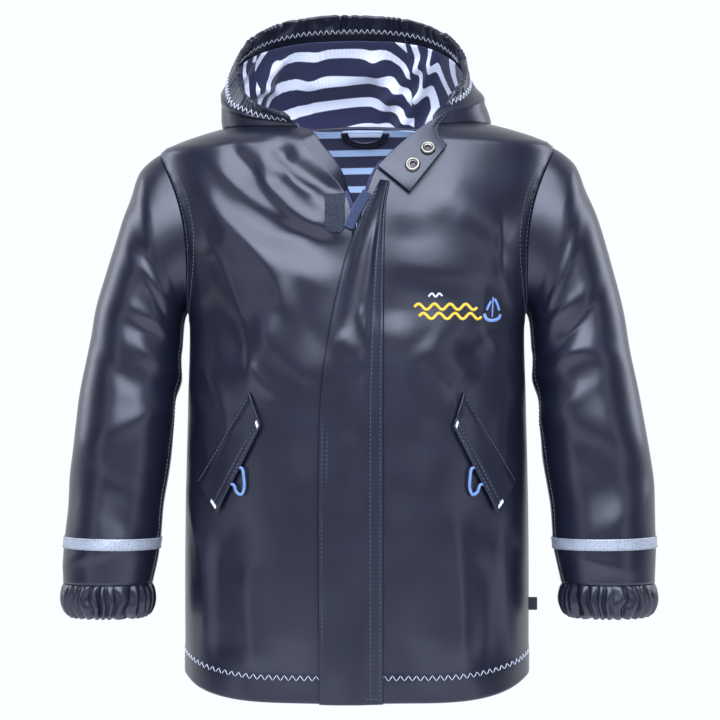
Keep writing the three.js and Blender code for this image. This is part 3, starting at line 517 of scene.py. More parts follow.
def striped_jersey(name, pitch, white, pale, dark, shift):
    """Single jersey of cotton and polyester with yarn-dyed stripes: matt, slightly fuzzy, with
    its ribs 1 mm apart, drawn at 1.6 mm so that they show. Stripes follow the flat cloth."""
    material, tree, skin = start_material(name, {"Roughness": 0.85, "Sheen Weight": 0.25})
    flat = add(tree, "ShaderNodeUVMap", uv_map="flat_cloth").outputs["UV"]
    parts = add(tree, "ShaderNodeSeparateXYZ", {"Vector": flat})
    up = add(tree, "ShaderNodeMath", {0: parts.outputs["Y"], 1: shift / 1000}, operation="ADD")
    turn = add(tree, "ShaderNodeMath", {0: up.outputs[0], 1: pitch / 1000}, operation="DIVIDE")
    part = add(tree, "ShaderNodeMath", {0: turn.outputs[0]}, operation="FRACT")
    away = add(tree, "ShaderNodeMath", {0: part.outputs[0], 1: 0.5}, operation="SUBTRACT")
    size = add(tree, "ShaderNodeMath", {0: away.outputs[0]}, operation="ABSOLUTE")
    half, soft = white / pitch / 2, 0.35 / pitch
    line = add(tree, "ShaderNodeMapRange", {"Value": size.outputs[0], "From Min": half + soft,
                                            "From Max": half - soft})
    ribs = add(tree, "ShaderNodeTexWave", {"Vector": flat, "Scale": 1 / (0.0016 * FULL_TURN),
                                           "Distortion": 0.6, "Detail": 2.0})
    tone = add(tree, "ShaderNodeMix", {"Factor": line.outputs["Result"], "A": linear(dark),
                                       "B": linear(pale)}, data_type="RGBA")
    add(tree, "ShaderNodeMix", {"Factor": 0.12, "A": tone.outputs["Result"], "B": ribs.outputs["Color"]},
        to=skin.inputs["Base Color"], data_type="RGBA", blend_type="MULTIPLY")
    add(tree, "ShaderNodeBump", {"Height": ribs.outputs["Fac"], "Strength": 0.3, "Distance": 0.0004},
        to=skin.inputs["Normal"])
    return material


body_jersey = striped_jersey("striped_jersey_body", 17.0, 5.8, "#97aec8", "#0d1230", 4.5)

# Sewing thread: spun polyester, navy for the topstitching and white for the zigzags; a dull
# thread that shows as a fine raised line
navy_thread = plain("spun_polyester_navy", "#4a5068", 0.6, 0.3)
white_thread = plain("spun_polyester_white", "#d3d7de", 0.7, 0.2)


def side_x(s, y, face):
    n = squareness(s)
    deep = read(body_rings, FACE[face], s)
    return read(body_rings, "half", s) * (1 - (y / deep) ** n) ** (1 / n)


def armhole_angle(s, face, ease=0.0):
    """Angle from the side where the armhole's edge is; 0 on the side and shoulder seams."""
    t = np.clip((np.asarray(s, float) - ARM_MID) / (ARM_HALF + ease), -1, 1)
    deep = (ARM_DEEP[face] + ease) * np.sqrt(1 - t * t)
    return np.arctan2(deep, side_x(s, deep, face))


def even_angles(begin, end, s, shares):
    """Angles that part a stretch of each ring at these shares of its length."""
    fine = np.linspace(0, 1, 49)
    angles = begin[:, None] + (end - begin)[:, None] * fine
    ring = plain_body(angles, s[:, None])
    return np.stack([np.interp(shares * r[-1], r, a) for r, a in zip(run_along(ring, 1), angles)])


def crowded(count, much=0.8):
    """Shares from 0 to 1 that lie closer together towards both ends."""
    t = np.linspace(0, 1, count)
    return mix(t, smooth(t), much)


stations = np.concatenate([
    UNDERARM * 0.96 * crowded(90, 0.5)[:-1],
    ARM_MID - ARM_HALF * 1.1 * np.cos(np.linspace(0, math.pi, 84)),
    np.linspace(SHOULDER_TIP + 9, NECK, 20)])


def seam_dip(angle, s, face):
    """How far the cloth sinks beside the side seam, the shoulder seam and the armhole."""
    point = plain_body(angle, s)
    to_side = np.abs(point[..., 1])
    oval = np.sqrt(((s - ARM_MID) / ARM_HALF) ** 2 + (point[..., 1] / ARM_DEEP[face]) ** 2)
    away = np.minimum(to_side, 55 * np.abs(oval - 1))
    pucker = 0.25 * np.sin(s / 2.1 + 2 * np.sin(s / 17)) * np.exp(-(away / 7) ** 2)
    return pucker - 0.9 * np.exp(-(away / 1.6) ** 2)


def hem_fold(s):
    """The turned-up hem is a second layer, so the cloth stands a little prouder there."""
    return 0.5 * smooth((HEM_TURN + 2 - s) / 3)


edge_gap = SEAM_GAP / 2 / read(body_rings, "half", stations)
columns = crowded(84)
front_ends = {
    "right": (math.pi + armhole_angle(stations, -1, SEAM_GAP) + edge_gap,
              ring_angle(read(right_edge, "x", stations), stations)),
    "left": (ring_angle(read(left_edge, "x", stations), stations),
             FULL_TURN - armhole_angle(stations, -1, SEAM_GAP) - edge_gap),
}


def hem_row(name, angles):
    """The zigzag that holds the turned-up hem."""
    strands, ups = zigzag(*body(angles, np.full(len(angles), HEM_TURN)))
    sew(name, [(strands + ups * 0.3, ups)], white_thread)


def armhole_rows(face, *sides):
    """Topstitching of the armholes: two rows on the body beside each seam."""
    turn_round = np.linspace(0.06, math.pi - 0.06, 160)
    rows = []
    for ease in ARMHOLE_ROWS:
        s = ARM_MID - (ARM_HALF + ease) * np.cos(turn_round)
        deep = (ARM_DEEP[face] + ease) * np.sin(turn_round)
        angle = face * np.arctan2(deep, side_x(s, deep, face))
        for side in sides:
            rows.append(lockstitch(*body(math.pi - angle if side == "right" else angle, s)))
    return rows


for side, (begin, end) in front_ends.items():
    angles = even_angles(begin, end, stations, columns)
    point, out = body(angles, stations[:, None])
    high = seam_dip(angles, stations[:, None], -1) + hem_fold(stations)[:, None]
    row = run_along(point, 1)
    cut = np.stack([row, np.broadcast_to(stations[:, None], row.shape)], -1)
    panel = wall(f"front_panel_{side}", point, out, -CLOTH, high, [coated, body_jersey], cut=cut)
    place(panel, "shell_cloth", f"front_{side}")

    inner, outer = (end, begin) if side == "right" else (begin, end)
    hem_row(f"hem_zigzag_{side}", np.linspace(inner[0], outer[0], 200))
    sew(f"armhole_stitching_{side}", armhole_rows(-1, side), navy_thread)

# Back panel: one piece of the same coated cloth from side seam to side seam, with the same hem
begin = armhole_angle(stations, 1, SEAM_GAP) + edge_gap
end = math.pi - begin
back_columns = crowded(130)
angles = even_angles(begin, end, stations, back_columns)
point, out = body(angles, stations[:, None])
high = seam_dip(angles, stations[:, None], 1) + hem_fold(stations)[:, None]
back = wall("back_panel", point, out, -CLOTH, high, [coated])
place(back, "shell_cloth", "back")
hem_row("hem_zigzag_back", np.linspace(begin[0] + 0.02, end[0] - 0.02, 300))
sew("armhole_stitching_back", armhole_rows(1, "left", "right"), navy_thread)

# Back lining: the striped jersey, sewn in at the seams and hung 1 mm inside the shell. It is what
# shows through the neck between the two fronts.
LINING_GAP = 1.0
INNER = CLOTH + LINING_GAP
low_stations = stations[stations > 30]
begin = armhole_angle(low_stations, 1, SEAM_GAP) + SEAM_GAP / 2 / read(body_rings, "half", low_stations)
angles = even_angles(begin, math.pi - begin, low_stations, crowded(70, 0.4))
point, out = body(angles, low_stations[:, None])
row = run_along(point, 1)
cut = np.stack([row, point[..., 2]], -1)
slack = 0.5 * (1 + np.sin(row / 13 + 3 * np.sin(low_stations[:, None] / 41)))
lining = wall("body_lining_back", point, out, -INNER - LINING - slack, -INNER - slack, [body_jersey],
              cut=cut)
place(lining, "lining_jersey", "back_lining")

# Sleeves: one piece each, sewn into a tube along the inside of the arm and set into the armhole.
# They hang slightly forward, break into soft folds at the elbow and crumple above the cuff.
sleeve_rings = {
    "out_x": (176, 190, 201, 211, 221, 231, 240, 247, 254, 260, 264.5, 266.5, 265.5),
    "out_z": (-18, -27, -42, -66, -96, -130, -165, -200, -240, -285, -330, -371, -404),
    "in_x": (151.8, 153.6, 154.8, 155.6, 156.2, 156.8, 157.6, 158.6, 161, 166, 171, 175.5, 182),
    "in_z": (-162.6, -166.5, -171, -177, -185, -195, -208, -226, -254, -290, -331, -372, -404),
    "deep": (49.6, 51, 51.5, 51, 50.5, 50, 49, 48, 47, 46, 45, 44, 40),
    "back": (0, 0, 0, 0, 0, -1, -2, -4, -7, -11, -15, -19, -22),
    "pull": (0, 0.5, 1.5, 3, 4.5, 4.5, 4.5, 4, 4.5, 7.5, 8.5, 5, 3.6),
}
sleeve_folds = [
    # around, along, spread, wide, slope, high, as the part has them
    (20, 2.6, 60, 0.5, 0.5, -3), (140, 5.2, 55, 0.42, -0.5, -4.5), (110, 6.5, 60, 0.45, 0.4, 3),
    (160, 7.4, 60, 0.4, 0.6, -4), (70, 8.6, 70, 0.5, -0.6, 3), (230, 5.6, 60, 0.45, 0.5, -4),
    (260, 7.8, 70, 0.5, -0.4, -3), (110, 9.8, 60, 0.4, 0.3, -3), (290, 9.4, 60, 0.5, 0.3, 3),
]
sleeve_creases = {
    "left": [
        (96, 3.2, 34, 0.26, 0.5, 2.2), (120, 4.4, 38, 0.2, -0.4, 1.8), (100, 5.6, 30, 0.16, 0.7, -1.5),
        (78, 6.6, 30, 0.2, -0.7, 1.4), (130, 7.9, 34, 0.18, 0.5, 1.5), (96, 8.9, 26, 0.2, -0.6, -1.4),
        (60, 10.2, 30, 0.2, 0.6, 1.4), (120, 11.3, 40, 0.16, -0.3, 1.4), (250, 4.4, 38, 0.2, -0.5, 1.6),
        (280, 6.6, 40, 0.22, 0.5, -1.6), (240, 8.6, 34, 0.2, -0.5, 1.5), (300, 10.6, 40, 0.2, 0.4, 1.4)],
    "right": [
        (84, 3.6, 34, 0.24, -0.5, 1.7), (126, 4.1, 36, 0.18, 0.5, -1.6), (104, 5.0, 40, 0.22, -0.5, 2.0),
        (70, 7.1, 36, 0.2, 0.6, -1.4), (112, 8.2, 32, 0.18, -0.6, 1.6), (80, 9.3, 30, 0.2, 0.5, 1.3),
        (130, 10.6, 34, 0.18, 0.4, -1.4), (60, 11.2, 40, 0.16, -0.4, 1.4), (236, 4.1, 38, 0.22, 0.5, 1.5),
        (286, 5.8, 40, 0.22, -0.5, -1.6), (246, 7.6, 34, 0.2, 0.5, 1.6), (300, 9.9, 40, 0.2, -0.4, 1.4)],
}
WRIST = 12  # the last of the sleeve's rings
wrist = {column: values[-1] for column, values in sleeve_rings.items()}


def sleeve_point(around, t, side):
    """Points of a left-hand sleeve; the right one's outside is pulled in, and it is then mirrored."""
    around, t = np.broadcast_arrays(np.asarray(around, float), np.asarray(t, float))
    zero = np.zeros_like(t)
    pull = read(sleeve_rings, "pull", t) * (side == "right")
    outer = np.stack([read(sleeve_rings, "out_x", t) - pull, zero, read(sleeve_rings, "out_z", t)], -1)
    inner = np.stack([read(sleeve_rings, "in_x", t), zero, read(sleeve_rings, "in_z", t)], -1)
    middle, reach = (outer + inner) / 2, (outer - inner) / 2
    free = middle + reach * np.cos(around)[..., None]
    free[..., 1] = read(sleeve_rings, "back", t) - read(sleeve_rings, "deep", t) * np.sin(around)
    front = np.sin(around) > 0
    s = ARM_MID + (ARM_HALF - SEAM_GAP / 2) * np.cos(around)
    y = (np.where(front, ARM_DEEP[-1], ARM_DEEP[1]) - SEAM_GAP / 2) * np.abs(np.sin(around))
    x = np.where(front, side_x(s, y, -1), side_x(s, y, 1)) + 0.3 * smooth((UNDERARM + 30 - s) / 30)
    seam = np.stack([x, np.where(front, -y, y), read(body_rings, "z", s)], -1)
    point = mix(seam, free, smooth(t / 1.5)[..., None])
    inward = smooth((-np.cos(around) - 0.3) / 0.5) * smooth((7 - t) / 2)
    calm = smooth((t - 1) / 1.5) * smooth((WRIST - t) / 1.5) * (1 - inward)
    fine = smooth(t / 0.8) * (1 - inward)
    high = zero
    for share, folds in ((calm, sleeve_folds), (fine, sleeve_creases[side])):
        for turned_at, along, spread, wide, slope, rise in folds:
            turned = np.degrees(around) - turned_at
            turned = turned - 360 * np.round(turned / 360)
            off = (t - along - slope * turned / 60) / wide
            high = high + share * rise * np.exp(-0.5 * (off**2 + (turned / spread) ** 2))
    return point + unit(point - middle) * high[..., None]


def facing(point, closed=False):
    """Direction that faces out of a grid of points."""
    if closed:
        across = np.roll(point, -1, 1) - np.roll(point, 1, 1)
    else:
        across = np.gradient(point, axis=1)
    return unit(np.cross(across, np.gradient(point, axis=0)))


def mirrored(point):
    return point[:, ::-1] * np.array([-1, 1, 1])


def woven(name, values, pitch, strength, bands, inputs=None):
    """A material of one colour whose fine weave stands in relief."""
    material, tree, skin = start_material(name, values)
    weave = pattern(tree, "ShaderNodeTexWave", pitch * FULL_TURN, inputs, bands_direction=bands)
    add(tree, "ShaderNodeBump", {"Height": weave.outputs["Fac"], "Strength": strength,
                                 "Distance": 0.0003}, to=skin.inputs["Normal"])
    return material


# Plain lining of the sleeves: navy taffeta, thin, slightly shiny and plain woven
taffeta = woven("polyester_taffeta_navy", {"Base Color": linear("#1b2140"), "Roughness": 0.5,
                                           "Sheen Weight": 0.15},
                0.0015, 0.2, "Z", {"Distortion": 1.0, "Detail": 2.0})

# Reflective tape: glass-bead film on woven polyester, 11 mm wide, sewn round each forearm. In
# plain light it is an even silver grey with a fine grid of 0.8 mm, drawn at 1.5 mm.
tape = two_toned("glass_bead_reflective_tape", {"Metallic": 0.35, "Roughness": 0.45},
                 "ShaderNodeTexVoronoi", 0.0015, ("#a9aeb3", "#82888e"), 0.25, 0.0003)

SLEEVE_SIDES = 120
SLEEVE_SEAM = 168  # degrees round the sleeve, inside the arm
sleeve_rows = np.concatenate([np.linspace(0, 1.6, 26)[:-1], np.linspace(1.6, 10.6, 90)[:-1],
                              np.linspace(10.6, WRIST, 20)])
ring = np.arange(SLEEVE_SIDES) * FULL_TURN / SLEEVE_SIDES
BAND_AT, BAND_HALF = 10.92, 0.13
cuff_profile = {"down": (0.6, 4, 9, 15, 21, 26.5, 29.8, 29.4, 26),
                "scale": (0.985, 1.02, 1.045, 1.05, 1.02, 0.95, 0.85, 0.74, 0.66),
                "wave": (0.4, 1.2, 1.7, 1.9, 2.0, 2.1, 2.1, 1.8, 1.3)}
CUFF_GATHERS = 26
CUFF_SIDES = CUFF_GATHERS * 14
for side in ("right", "left"):
    phase = 1.3 if side == "right" else 0
    handed = mirrored if side == "right" else lambda point: point
    point = sleeve_point(ring[None, :], sleeve_rows[:, None], side)
    out = facing(point, closed=True)
    sunk = (-0.9 * np.exp(-(sleeve_rows / 0.12) ** 2)[:, None]
            - 0.7 * np.exp(-((ring - math.radians(SLEEVE_SEAM)) / 0.03) ** 2)
            * smooth(sleeve_rows / 0.5)[:, None])
    panel = wall(f"sleeve_panel_{side}", handed(point), handed(out), -CLOTH,
                 sunk[:, ::-1] if side == "right" else sunk, [coated, taffeta], closed=True)
    place(panel, "shell_cloth", f"sleeve_{side}")

    rows = []
    for turned in (SLEEVE_SEAM - 5, SLEEVE_SEAM + 5):
        t = np.linspace(0.3, 11.7, 160)
        line = sleeve_point(np.radians(turned), t, side)
        centre = sleeve_point(np.radians(turned) + math.pi, t, side)
        rows.append(lockstitch(line, unit(line - centre)))
    turn_over = np.array([-1, 1, 1]) if side == "right" else 1
    sew(f"sleeve_seam_stitching_{side}", rows, navy_thread, radius=0.22, turned=turn_over)

    band_rows = BAND_AT + BAND_HALF * np.linspace(-1, 1, 9)
    point = sleeve_point(ring[None, :], band_rows[:, None], side)
    out = facing(point, closed=True)
    strip = wall(f"reflective_tape_{side}", handed(point), handed(out), 0.35, 1.0, [tape],
                 closed=True)
    place(strip, "reflective_tape", f"reflective_band_{side}")
    rows = []
    for level in (-0.8, 0.8):
        line = sleeve_point(np.linspace(0, FULL_TURN, 200), BAND_AT + BAND_HALF * level, side)
        middle = line.mean(0)
        rows.append(lockstitch(line + unit(line - middle) * 1.0, unit(line - middle)))
    sew(f"tape_stitching_{side}", rows, navy_thread, radius=0.2, turned=turn_over)

    # Cuff: a strip of the coated cloth twice as long as the wrist, gathered on elastic, so it
    # puffs out between narrow creases and turns in to its elastic edge
    around = np.arange(CUFF_SIDES) * FULL_TURN / CUFF_SIDES
    level = np.linspace(0, 8, 41)[:, None]
    down, scale, waviness = (read(cuff_profile, column, level) for column in ("down", "scale", "wave"))
    shifted = around + 0.075 * np.sin(3 * around + 1 + phase) + 0.05 * np.sin(7 * around + phase)
    shifted = shifted + 0.03 * np.sin(level * 0.9 + 5 * around) + 0.02 * np.sin(level * 1.7 + 3 * around)
    puff = np.abs(np.sin(shifted * CUFF_GATHERS / 2)) ** 0.9
    uneven = 0.72 + 0.4 * np.sin(5 * around + 2 * phase + level / 5) * np.sin(11 * around + phase)
    swell = waviness * (2.6 * puff - 1.9) * uneven
    out_x = wrist["out_x"] - wrist["pull"] * (side == "right")
    half, middle_x = (out_x - wrist["in_x"]) / 2, (out_x + wrist["in_x"]) / 2
    reach = swell - 0.9 * np.exp(-((level - 5.6) / 0.35) ** 2) * (0.6 + 0.4 * puff)
    point = np.stack([middle_x + (half * scale + reach) * np.cos(around),
                      wrist["back"] - (wrist["deep"] * scale + reach) * np.sin(around),
                      wrist["out_z"] - down - 1.4 * (puff - 0.5) * smooth(level / 4)], -1)
    cuff = wall(f"gathered_cuff_{side}", handed(point), handed(facing(point, closed=True)), -CLOTH, 0,
                [coated], closed=True)
    place(cuff, "shell_cloth", f"cuff_{side}")

# Hood: two side panels and a centre panel, sewn to the neck, fallen open behind the neck. It is
# lined with striped jersey as well, its stripes wider than the body's: they run across the centre
# panel and up the sides.
RIM_X, RIM_Y, RIM_Z, RIM_HALF, RIM_LONG, RIM_TILT = -5, -8, 57, 103, 89, math.radians(38)
CENTRE_FROM, CENTRE_TO = 0.37, 0.63
RIM_DEPTH = 17
HOOD_ROUND, HOOD_UP = 420, 200  # the hood's size round its rim and up from the neck
HOOD_MIDDLE = 0.495


def hood_point(a, t):
    a, t = np.broadcast_arrays(np.asarray(a, float), np.asarray(t, float))
    angle, b = np.radians(-40 + 270 * a), np.radians(-30 + 268 * a)
    neck = plain_body(angle, np.full_like(a, NECK)) + np.array([0, 0, 0.7])
    squared = lambda v: np.sign(v) * np.abs(v) ** 0.84
    along = RIM_LONG * squared(np.sin(b))
    rim = np.stack([RIM_X + RIM_HALF * squared(np.cos(b)), RIM_Y + along * math.cos(RIM_TILT),
                    RIM_Z + along * math.sin(RIM_TILT)], -1)
    behind = np.maximum(0, np.sin(angle)) ** 1.5
    aside = np.sign(np.cos(angle)) * smooth(np.abs(np.cos(angle)) * 1.2)
    rise = rim[..., 2] - neck[..., 2]
    swell_low, swell_high = np.where(aside > 0, -6, 4), np.where(aside > 0, -2, 12)
    low = neck + np.stack([75 * behind * np.cos(angle) + swell_low * aside * (1 - behind),
                           130 * behind * np.sin(angle), mix(0.45 * rise + 3, -125, behind)], -1)
    high = rim + np.stack([60 * behind * np.cos(angle) + swell_high * aside * (1 - behind),
                           45 * behind, mix(-0.3 * rise, -55, behind)], -1)
    t = t[..., None]
    u = 1 - t
    return neck * u**3 + low * 3 * u**2 * t + high * 3 * u * t**2 + rim * t**3


fine_a = np.linspace(0, 1, 241)
fine_t = np.linspace(1, 0.1, 451)
profile = hood_point(fine_a[:, None], fine_t[None, :])
from_rim = np.linalg.norm(profile - profile[:, :1], axis=-1)
neck_reach = np.linalg.norm(profile[:, 0] - hood_point(fine_a, np.zeros(241)), axis=-1)
tunnel_depth = np.minimum(RIM_DEPTH, 0.55 * neck_reach)


def short_of_rim(a, more):
    """Place along a profile that lies the tunnel's depth and a little more from the rim."""
    reach = tunnel_depth + more
    t = [fine_t[np.argmax(row >= want) if row[-1] >= want else -1] for row, want in zip(from_rim, reach)]
    return np.interp(a, fine_a, t)


hood_folds = [
    # a1, t1, a2, t2 as places round and up the hood, wide, high, bend, steep
    (0.08, 0.25, 0.30, 0.62, 9, 2.2, 8, 0.7), (0.20, 0.2, 0.42, 0.5, 10, -2.4, 6, 1),
    (0.40, 0.7, 0.60, 0.62, 12, 2.5, 8, 0.8), (0.44, 0.35, 0.58, 0.42, 12, -2.5, -6, 1),
    (0.70, 0.65, 0.92, 0.3, 9, 2.2, -8, 0.7), (0.60, 0.45, 0.8, 0.2, 10, -2.2, -6, 1),
]
lining_folds = [
    (0.30, 0.86, 0.40, 0.55, 5, -5.0, 3, 0.6), (0.34, 0.80, 0.43, 0.62, 4, -4.0, -4, 0.8),
    (0.37, 0.5, 0.43, 0.84, 5, -4.2, 4, 0.7), (0.43, 0.80, 0.52, 0.74, 6, -3.0, 5, 0.8),
    (0.46, 0.58, 0.58, 0.52, 8, -3.0, -5, 0.8), (0.56, 0.86, 0.62, 0.60, 5, -5.0, -4, 0.6),
    (0.60, 0.80, 0.68, 0.50, 4.5, -5.0, -3, 0.7), (0.63, 0.88, 0.74, 0.66, 4, -4.2, 3, 0.8),
    (0.42, 0.34, 0.58, 0.30, 9, -2.6, 6, 1), (0.14, 0.7, 0.28, 0.5, 5, -3.4, 4, 0.7),
    (0.76, 0.6, 0.88, 0.74, 5, -3.4, 4, 0.7), (0.36, 0.66, 0.41, 0.70, 3.5, -3.6, 2, 0.7),
    (0.58, 0.72, 0.64, 0.70, 3.5, -3.8, -2, 0.7), (0.33, 0.55, 0.38, 0.42, 4, -4.0, 2, 0.7),
    (0.61, 0.52, 0.67, 0.38, 4, -4.0, -2, 0.7), (0.50, 0.90, 0.53, 0.70, 5, -2.4, 2, 0.8),
]


def crumple(folds, a, t):
    """Height of the folds of a table whose places are shares round and up the hood."""
    high = 0
    for a1, t1, a2, t2, wide, rise, bend, steep in folds:
        high = high + fold_height(a1 * HOOD_ROUND, t1 * HOOD_UP, a2 * HOOD_ROUND, t2 * HOOD_UP, wide,
                                  rise, bend, steep, a * HOOD_ROUND, t * HOOD_UP)
    return high * smooth(t / 0.15)


hood_jersey = striped_jersey("striped_jersey_hood", 24.0, 8.8, "#dde1ea", "#10163a", 0)
GAP_A = 0.0003
hood_panels = [
    # name, from, to, flat width, length, area, lining's area
    ("side_left", 0, CENTRE_FROM - GAP_A, 0.15, 0.15, 0.0136, 0.0125),
    ("centre", CENTRE_FROM + GAP_A, CENTRE_TO - GAP_A, 0.16, 0.21, 0.0285, 0.0269),
    ("side_right", CENTRE_TO + GAP_A, 1, 0.12, 0.12, 0.0093, 0.0084),
]
for name, begin_a, end_a, width, length, area, lining_area in hood_panels:
    a = mix(begin_a, end_a, crowded(80, 0.7))[None, :]
    v = crowded(64, 0.4)[:, None]
    from_seam = np.minimum(np.abs(a - CENTRE_FROM), np.abs(a - CENTRE_TO)) * HOOD_ROUND
    t = v * short_of_rim(a, 0)
    point = hood_point(a, t)
    out = facing(point)
    calm = (smooth(v / 0.12) * smooth((1 - v) / 0.12) * smooth((a - begin_a + 0.02) / 0.05)
            * smooth((end_a + 0.02 - a) / 0.05))
    point = point + out * (crumple(hood_folds, a, t) * calm)[..., None]
    tucked = np.exp(-(v / 0.012) ** 2)[..., None]
    point = point - tucked * (out * 1.4 + np.array([0, 0, 2.2]))
    dip = -0.8 * np.exp(-(from_seam / 1.6) ** 2) + 0 * v
    shell = wall(f"hood_panel_{name}", point, out, -CLOTH, dip, [coated])
    place(shell, "shell_cloth", f"hood_{name}")

    t = v * short_of_rim(a, 8)
    point = hood_point(a, t)
    out = facing(point)
    up, wide = run_along(point, 0), run_along(point, 1)
    own = crumple(lining_folds, a, t)
    droop = (24 * smooth((np.abs(a - HOOD_MIDDLE) - 0.08) / 0.07)
             + 60 * (a - CENTRE_FROM) * smooth((1 - v) / 0.4))
    up = up[-1:] - up - droop * smooth(t / 0.3) + 0.8 * own
    wide = wide + 2.0 * own + 5 * np.sin(up / 17 + 20 * a)
    loose = crumple(hood_folds, a, t) * calm + own * smooth((1 - v) / 0.1)
    point = point + out * loose[..., None]
    point = point - tucked * (out * 0.5 + np.array([0, 0, 3.0]))
    cut = np.stack([wide, up] if name == "centre" else [up, wide], -1)
    sheet = wall(f"hood_lining_panel_{name}", point, out, -INNER - LINING, -INNER, [hood_jersey], cut=cut)
    place(sheet, "lining_jersey", f"hood_lining_{name}")

# Rim of the hood: its edge is folded to a tunnel 17 mm deep with elastic in it, so it gathers
# all round. A white zigzag holds the tunnel, and shows on both faces.
RIM_GATHERS = 44
RIM_ZIGZAG = {"period": 5.4, "height": 5.2}
TUNNEL_GAP = 1.3
a = np.linspace(0.015, 1, RIM_GATHERS * 10 + 1)[None, :]
v = np.linspace(0, 1, 17)[:, None]
edge = hood_point(a, short_of_rim(a, 0))
rim = hood_point(a, np.ones_like(a))
edge = edge + unit(rim - edge) * TUNNEL_GAP
point = mix(edge, rim, v[..., None])
out = facing(point)
phase = a * RIM_GATHERS + 0.9 * np.sin(a * 31) + 0.5 * np.sin(a * 83) + 0.5 * v
puff = np.abs(np.sin(phase * math.pi)) ** 0.8
pleat = (2.0 * puff - 1.1) * mix(0.35, 1.0, smooth(v / 0.35)) * (0.75 + 0.5 * np.sin(a * 57))
band = wall("hood_tunnel", point, out, pleat * 2.0 - 3.2, pleat + 0.2, [coated], edge=1.2)
place(band, "shell_cloth", "hood_rim")
line = mix(edge, rim, 0.1)[0]
line_out = facing(mix(edge, rim, np.array([[[0.08]], [[0.12]]])))[0]
outside = zigzag(line + line_out, line_out, **RIM_ZIGZAG)
behind = slice(80, 360)  # where the tunnel's inner face shows
inside = zigzag((line - line_out * 4.0)[behind], -line_out[behind], **RIM_ZIGZAG)
sew("hood_zigzag", [outside, inside], white_thread)

# Zip: a plastic coil zip. Its closed chain runs down behind the storm flap, and its two open
# halves follow the neck's edges. The tapes and the slider are the part's own; the teeth are added.
# The tape is a matt navy twill and the teeth are smoother and paler. The slider and the snaps are
# antiqued nickel: warm grey, with dull hollows and brighter rubbed places.
zip_tape = woven("woven_zip_tape", {"Base Color": linear("#1c2244"), "Roughness": 0.75}, 0.001, 0.4,
                 "DIAGONAL")
coil = plain("acetal_zip_teeth", "#2c3558", 0.35)
nickel, tree, skin = start_material("antiqued_nickel", {"Metallic": 1.0})
patina = pattern(tree, "ShaderNodeTexNoise", 0.0022, {"Detail": 5.0})
add(tree, "ShaderNodeMix", {"Factor": patina.outputs["Fac"], "A": linear("#57524a"),
                            "B": linear("#8f8b81")}, to=skin.inputs["Base Color"], data_type="RGBA")
add(tree, "ShaderNodeMapRange", {"Value": patina.outputs["Fac"], "To Min": 0.42, "To Max": 0.2},
    to=skin.inputs["Roughness"])
for node, material in (("zip_closed", zip_tape), ("zip_open_right", zip_tape),
                       ("zip_open_left", zip_tape), ("zip_slider", nickel)):
    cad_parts[node].data.materials.clear()
    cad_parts[node].data.materials.append(material)

TOOTH_PITCH = 2.4
rows = []
for route, stand in (([(-0.5, -498), (-0.5, -300), (-0.5, -114)], 0.3),
                     ([(-2.4, -96), (-4, -80.7), (-9, -68), (-11.5, -59)], -1.4),
                     ([(2.1, -95), (2.1, -79.7), (6.5, -66), (11.5, -50), (20, -33.6)], -1.4)):
    line = through(route, 240)
    spots, outs = on_front(line[:, 0], line[:, 1])
    both = np.concatenate([spots, outs], -1)
    begin = np.arange(1, int(run_along(spots)[-1] / TOOTH_PITCH))[:, None] * TOOTH_PITCH
    found = along_line(both, begin + np.zeros(4))
    run = unit(np.gradient(spots, axis=0).mean(0))
    across = unit(np.cross(run, found[..., 3:]))
    offset = np.array([-1.7, -0.6, 0.6, 1.7])
    rows.append((found[..., :3] + across * offset[:, None] + found[..., 3:] * stand, found[..., 3:]))
sew("zip_teeth", rows, coil, radius=0.75, sides=6, slot="zip_plastic")

# Hook patch and loop strip: the two halves of a touch fastener near the neck, nylon hooks on the
# right front and a soft blue pile on the flap's underside. Both are sewn on along their edges.
# The hooks are a dark matt grain, and the pile is fuzzy and catches light at its edges.
hooks = two_toned("nylon_hook_tape", {"Roughness": 0.8}, "ShaderNodeTexVoronoi", 0.0017,
                  ("#1e2838", "#05070d"), 0.9, 0.0008)
pile = two_toned("nylon_loop_pile", {"Roughness": 0.95, "Sheen Weight": 0.4}, "ShaderNodeTexNoise",
                 0.0014, ("#070b1e", "#303d5c"), 0.7, 0.0008, {"Detail": 4.0})


def beside(line):
    """Direction that points sideways off a line on the front, given as x and z."""
    run = np.gradient(line, axis=0)
    return unit(np.stack([run[:, 1], -run[:, 0]], -1))


def strip_grid(route, width, long_steps, wide_steps, corner=1.0):
    """A grid on the front along a route seen from the front, with round corners where it starts."""
    line = through(route, long_steps)
    side = beside(line)
    run_in = np.linalg.norm(line - line[0], axis=-1)
    half = width / 2 - corner + np.sqrt(corner**2 - np.maximum(0, corner - run_in) ** 2)
    offset = half[:, None] * np.linspace(-1, 1, wide_steps)
    spots = line[:, None, :] + side[:, None, :] * offset[..., None]
    return on_front(spots[..., 0], spots[..., 1])


rng = np.random.default_rng(7)
point, out = strip_grid([(-19, -95.5), (-19, -78), (-19, -61)], 16.5, 60, 30, corner=5.0)
patch = wall("hook_patch_tape", point, out, 0.4, 1.3 + 0.5 * rng.random(point.shape[:2]), [hooks],
             edge=0.3)
place(patch, "hook_and_loop", "hook_patch")
point, out = strip_grid([(-7.5, -92), (-0.5, -77), (9, -61)], 8, 60, 16)
soft = wall("loop_pile_strip", point, out, 2.8, 3.8 + 0.3 * rng.random(point.shape[:2]), [pile],
            edge=0.3)
place(soft, "hook_and_loop", "loop_strip")

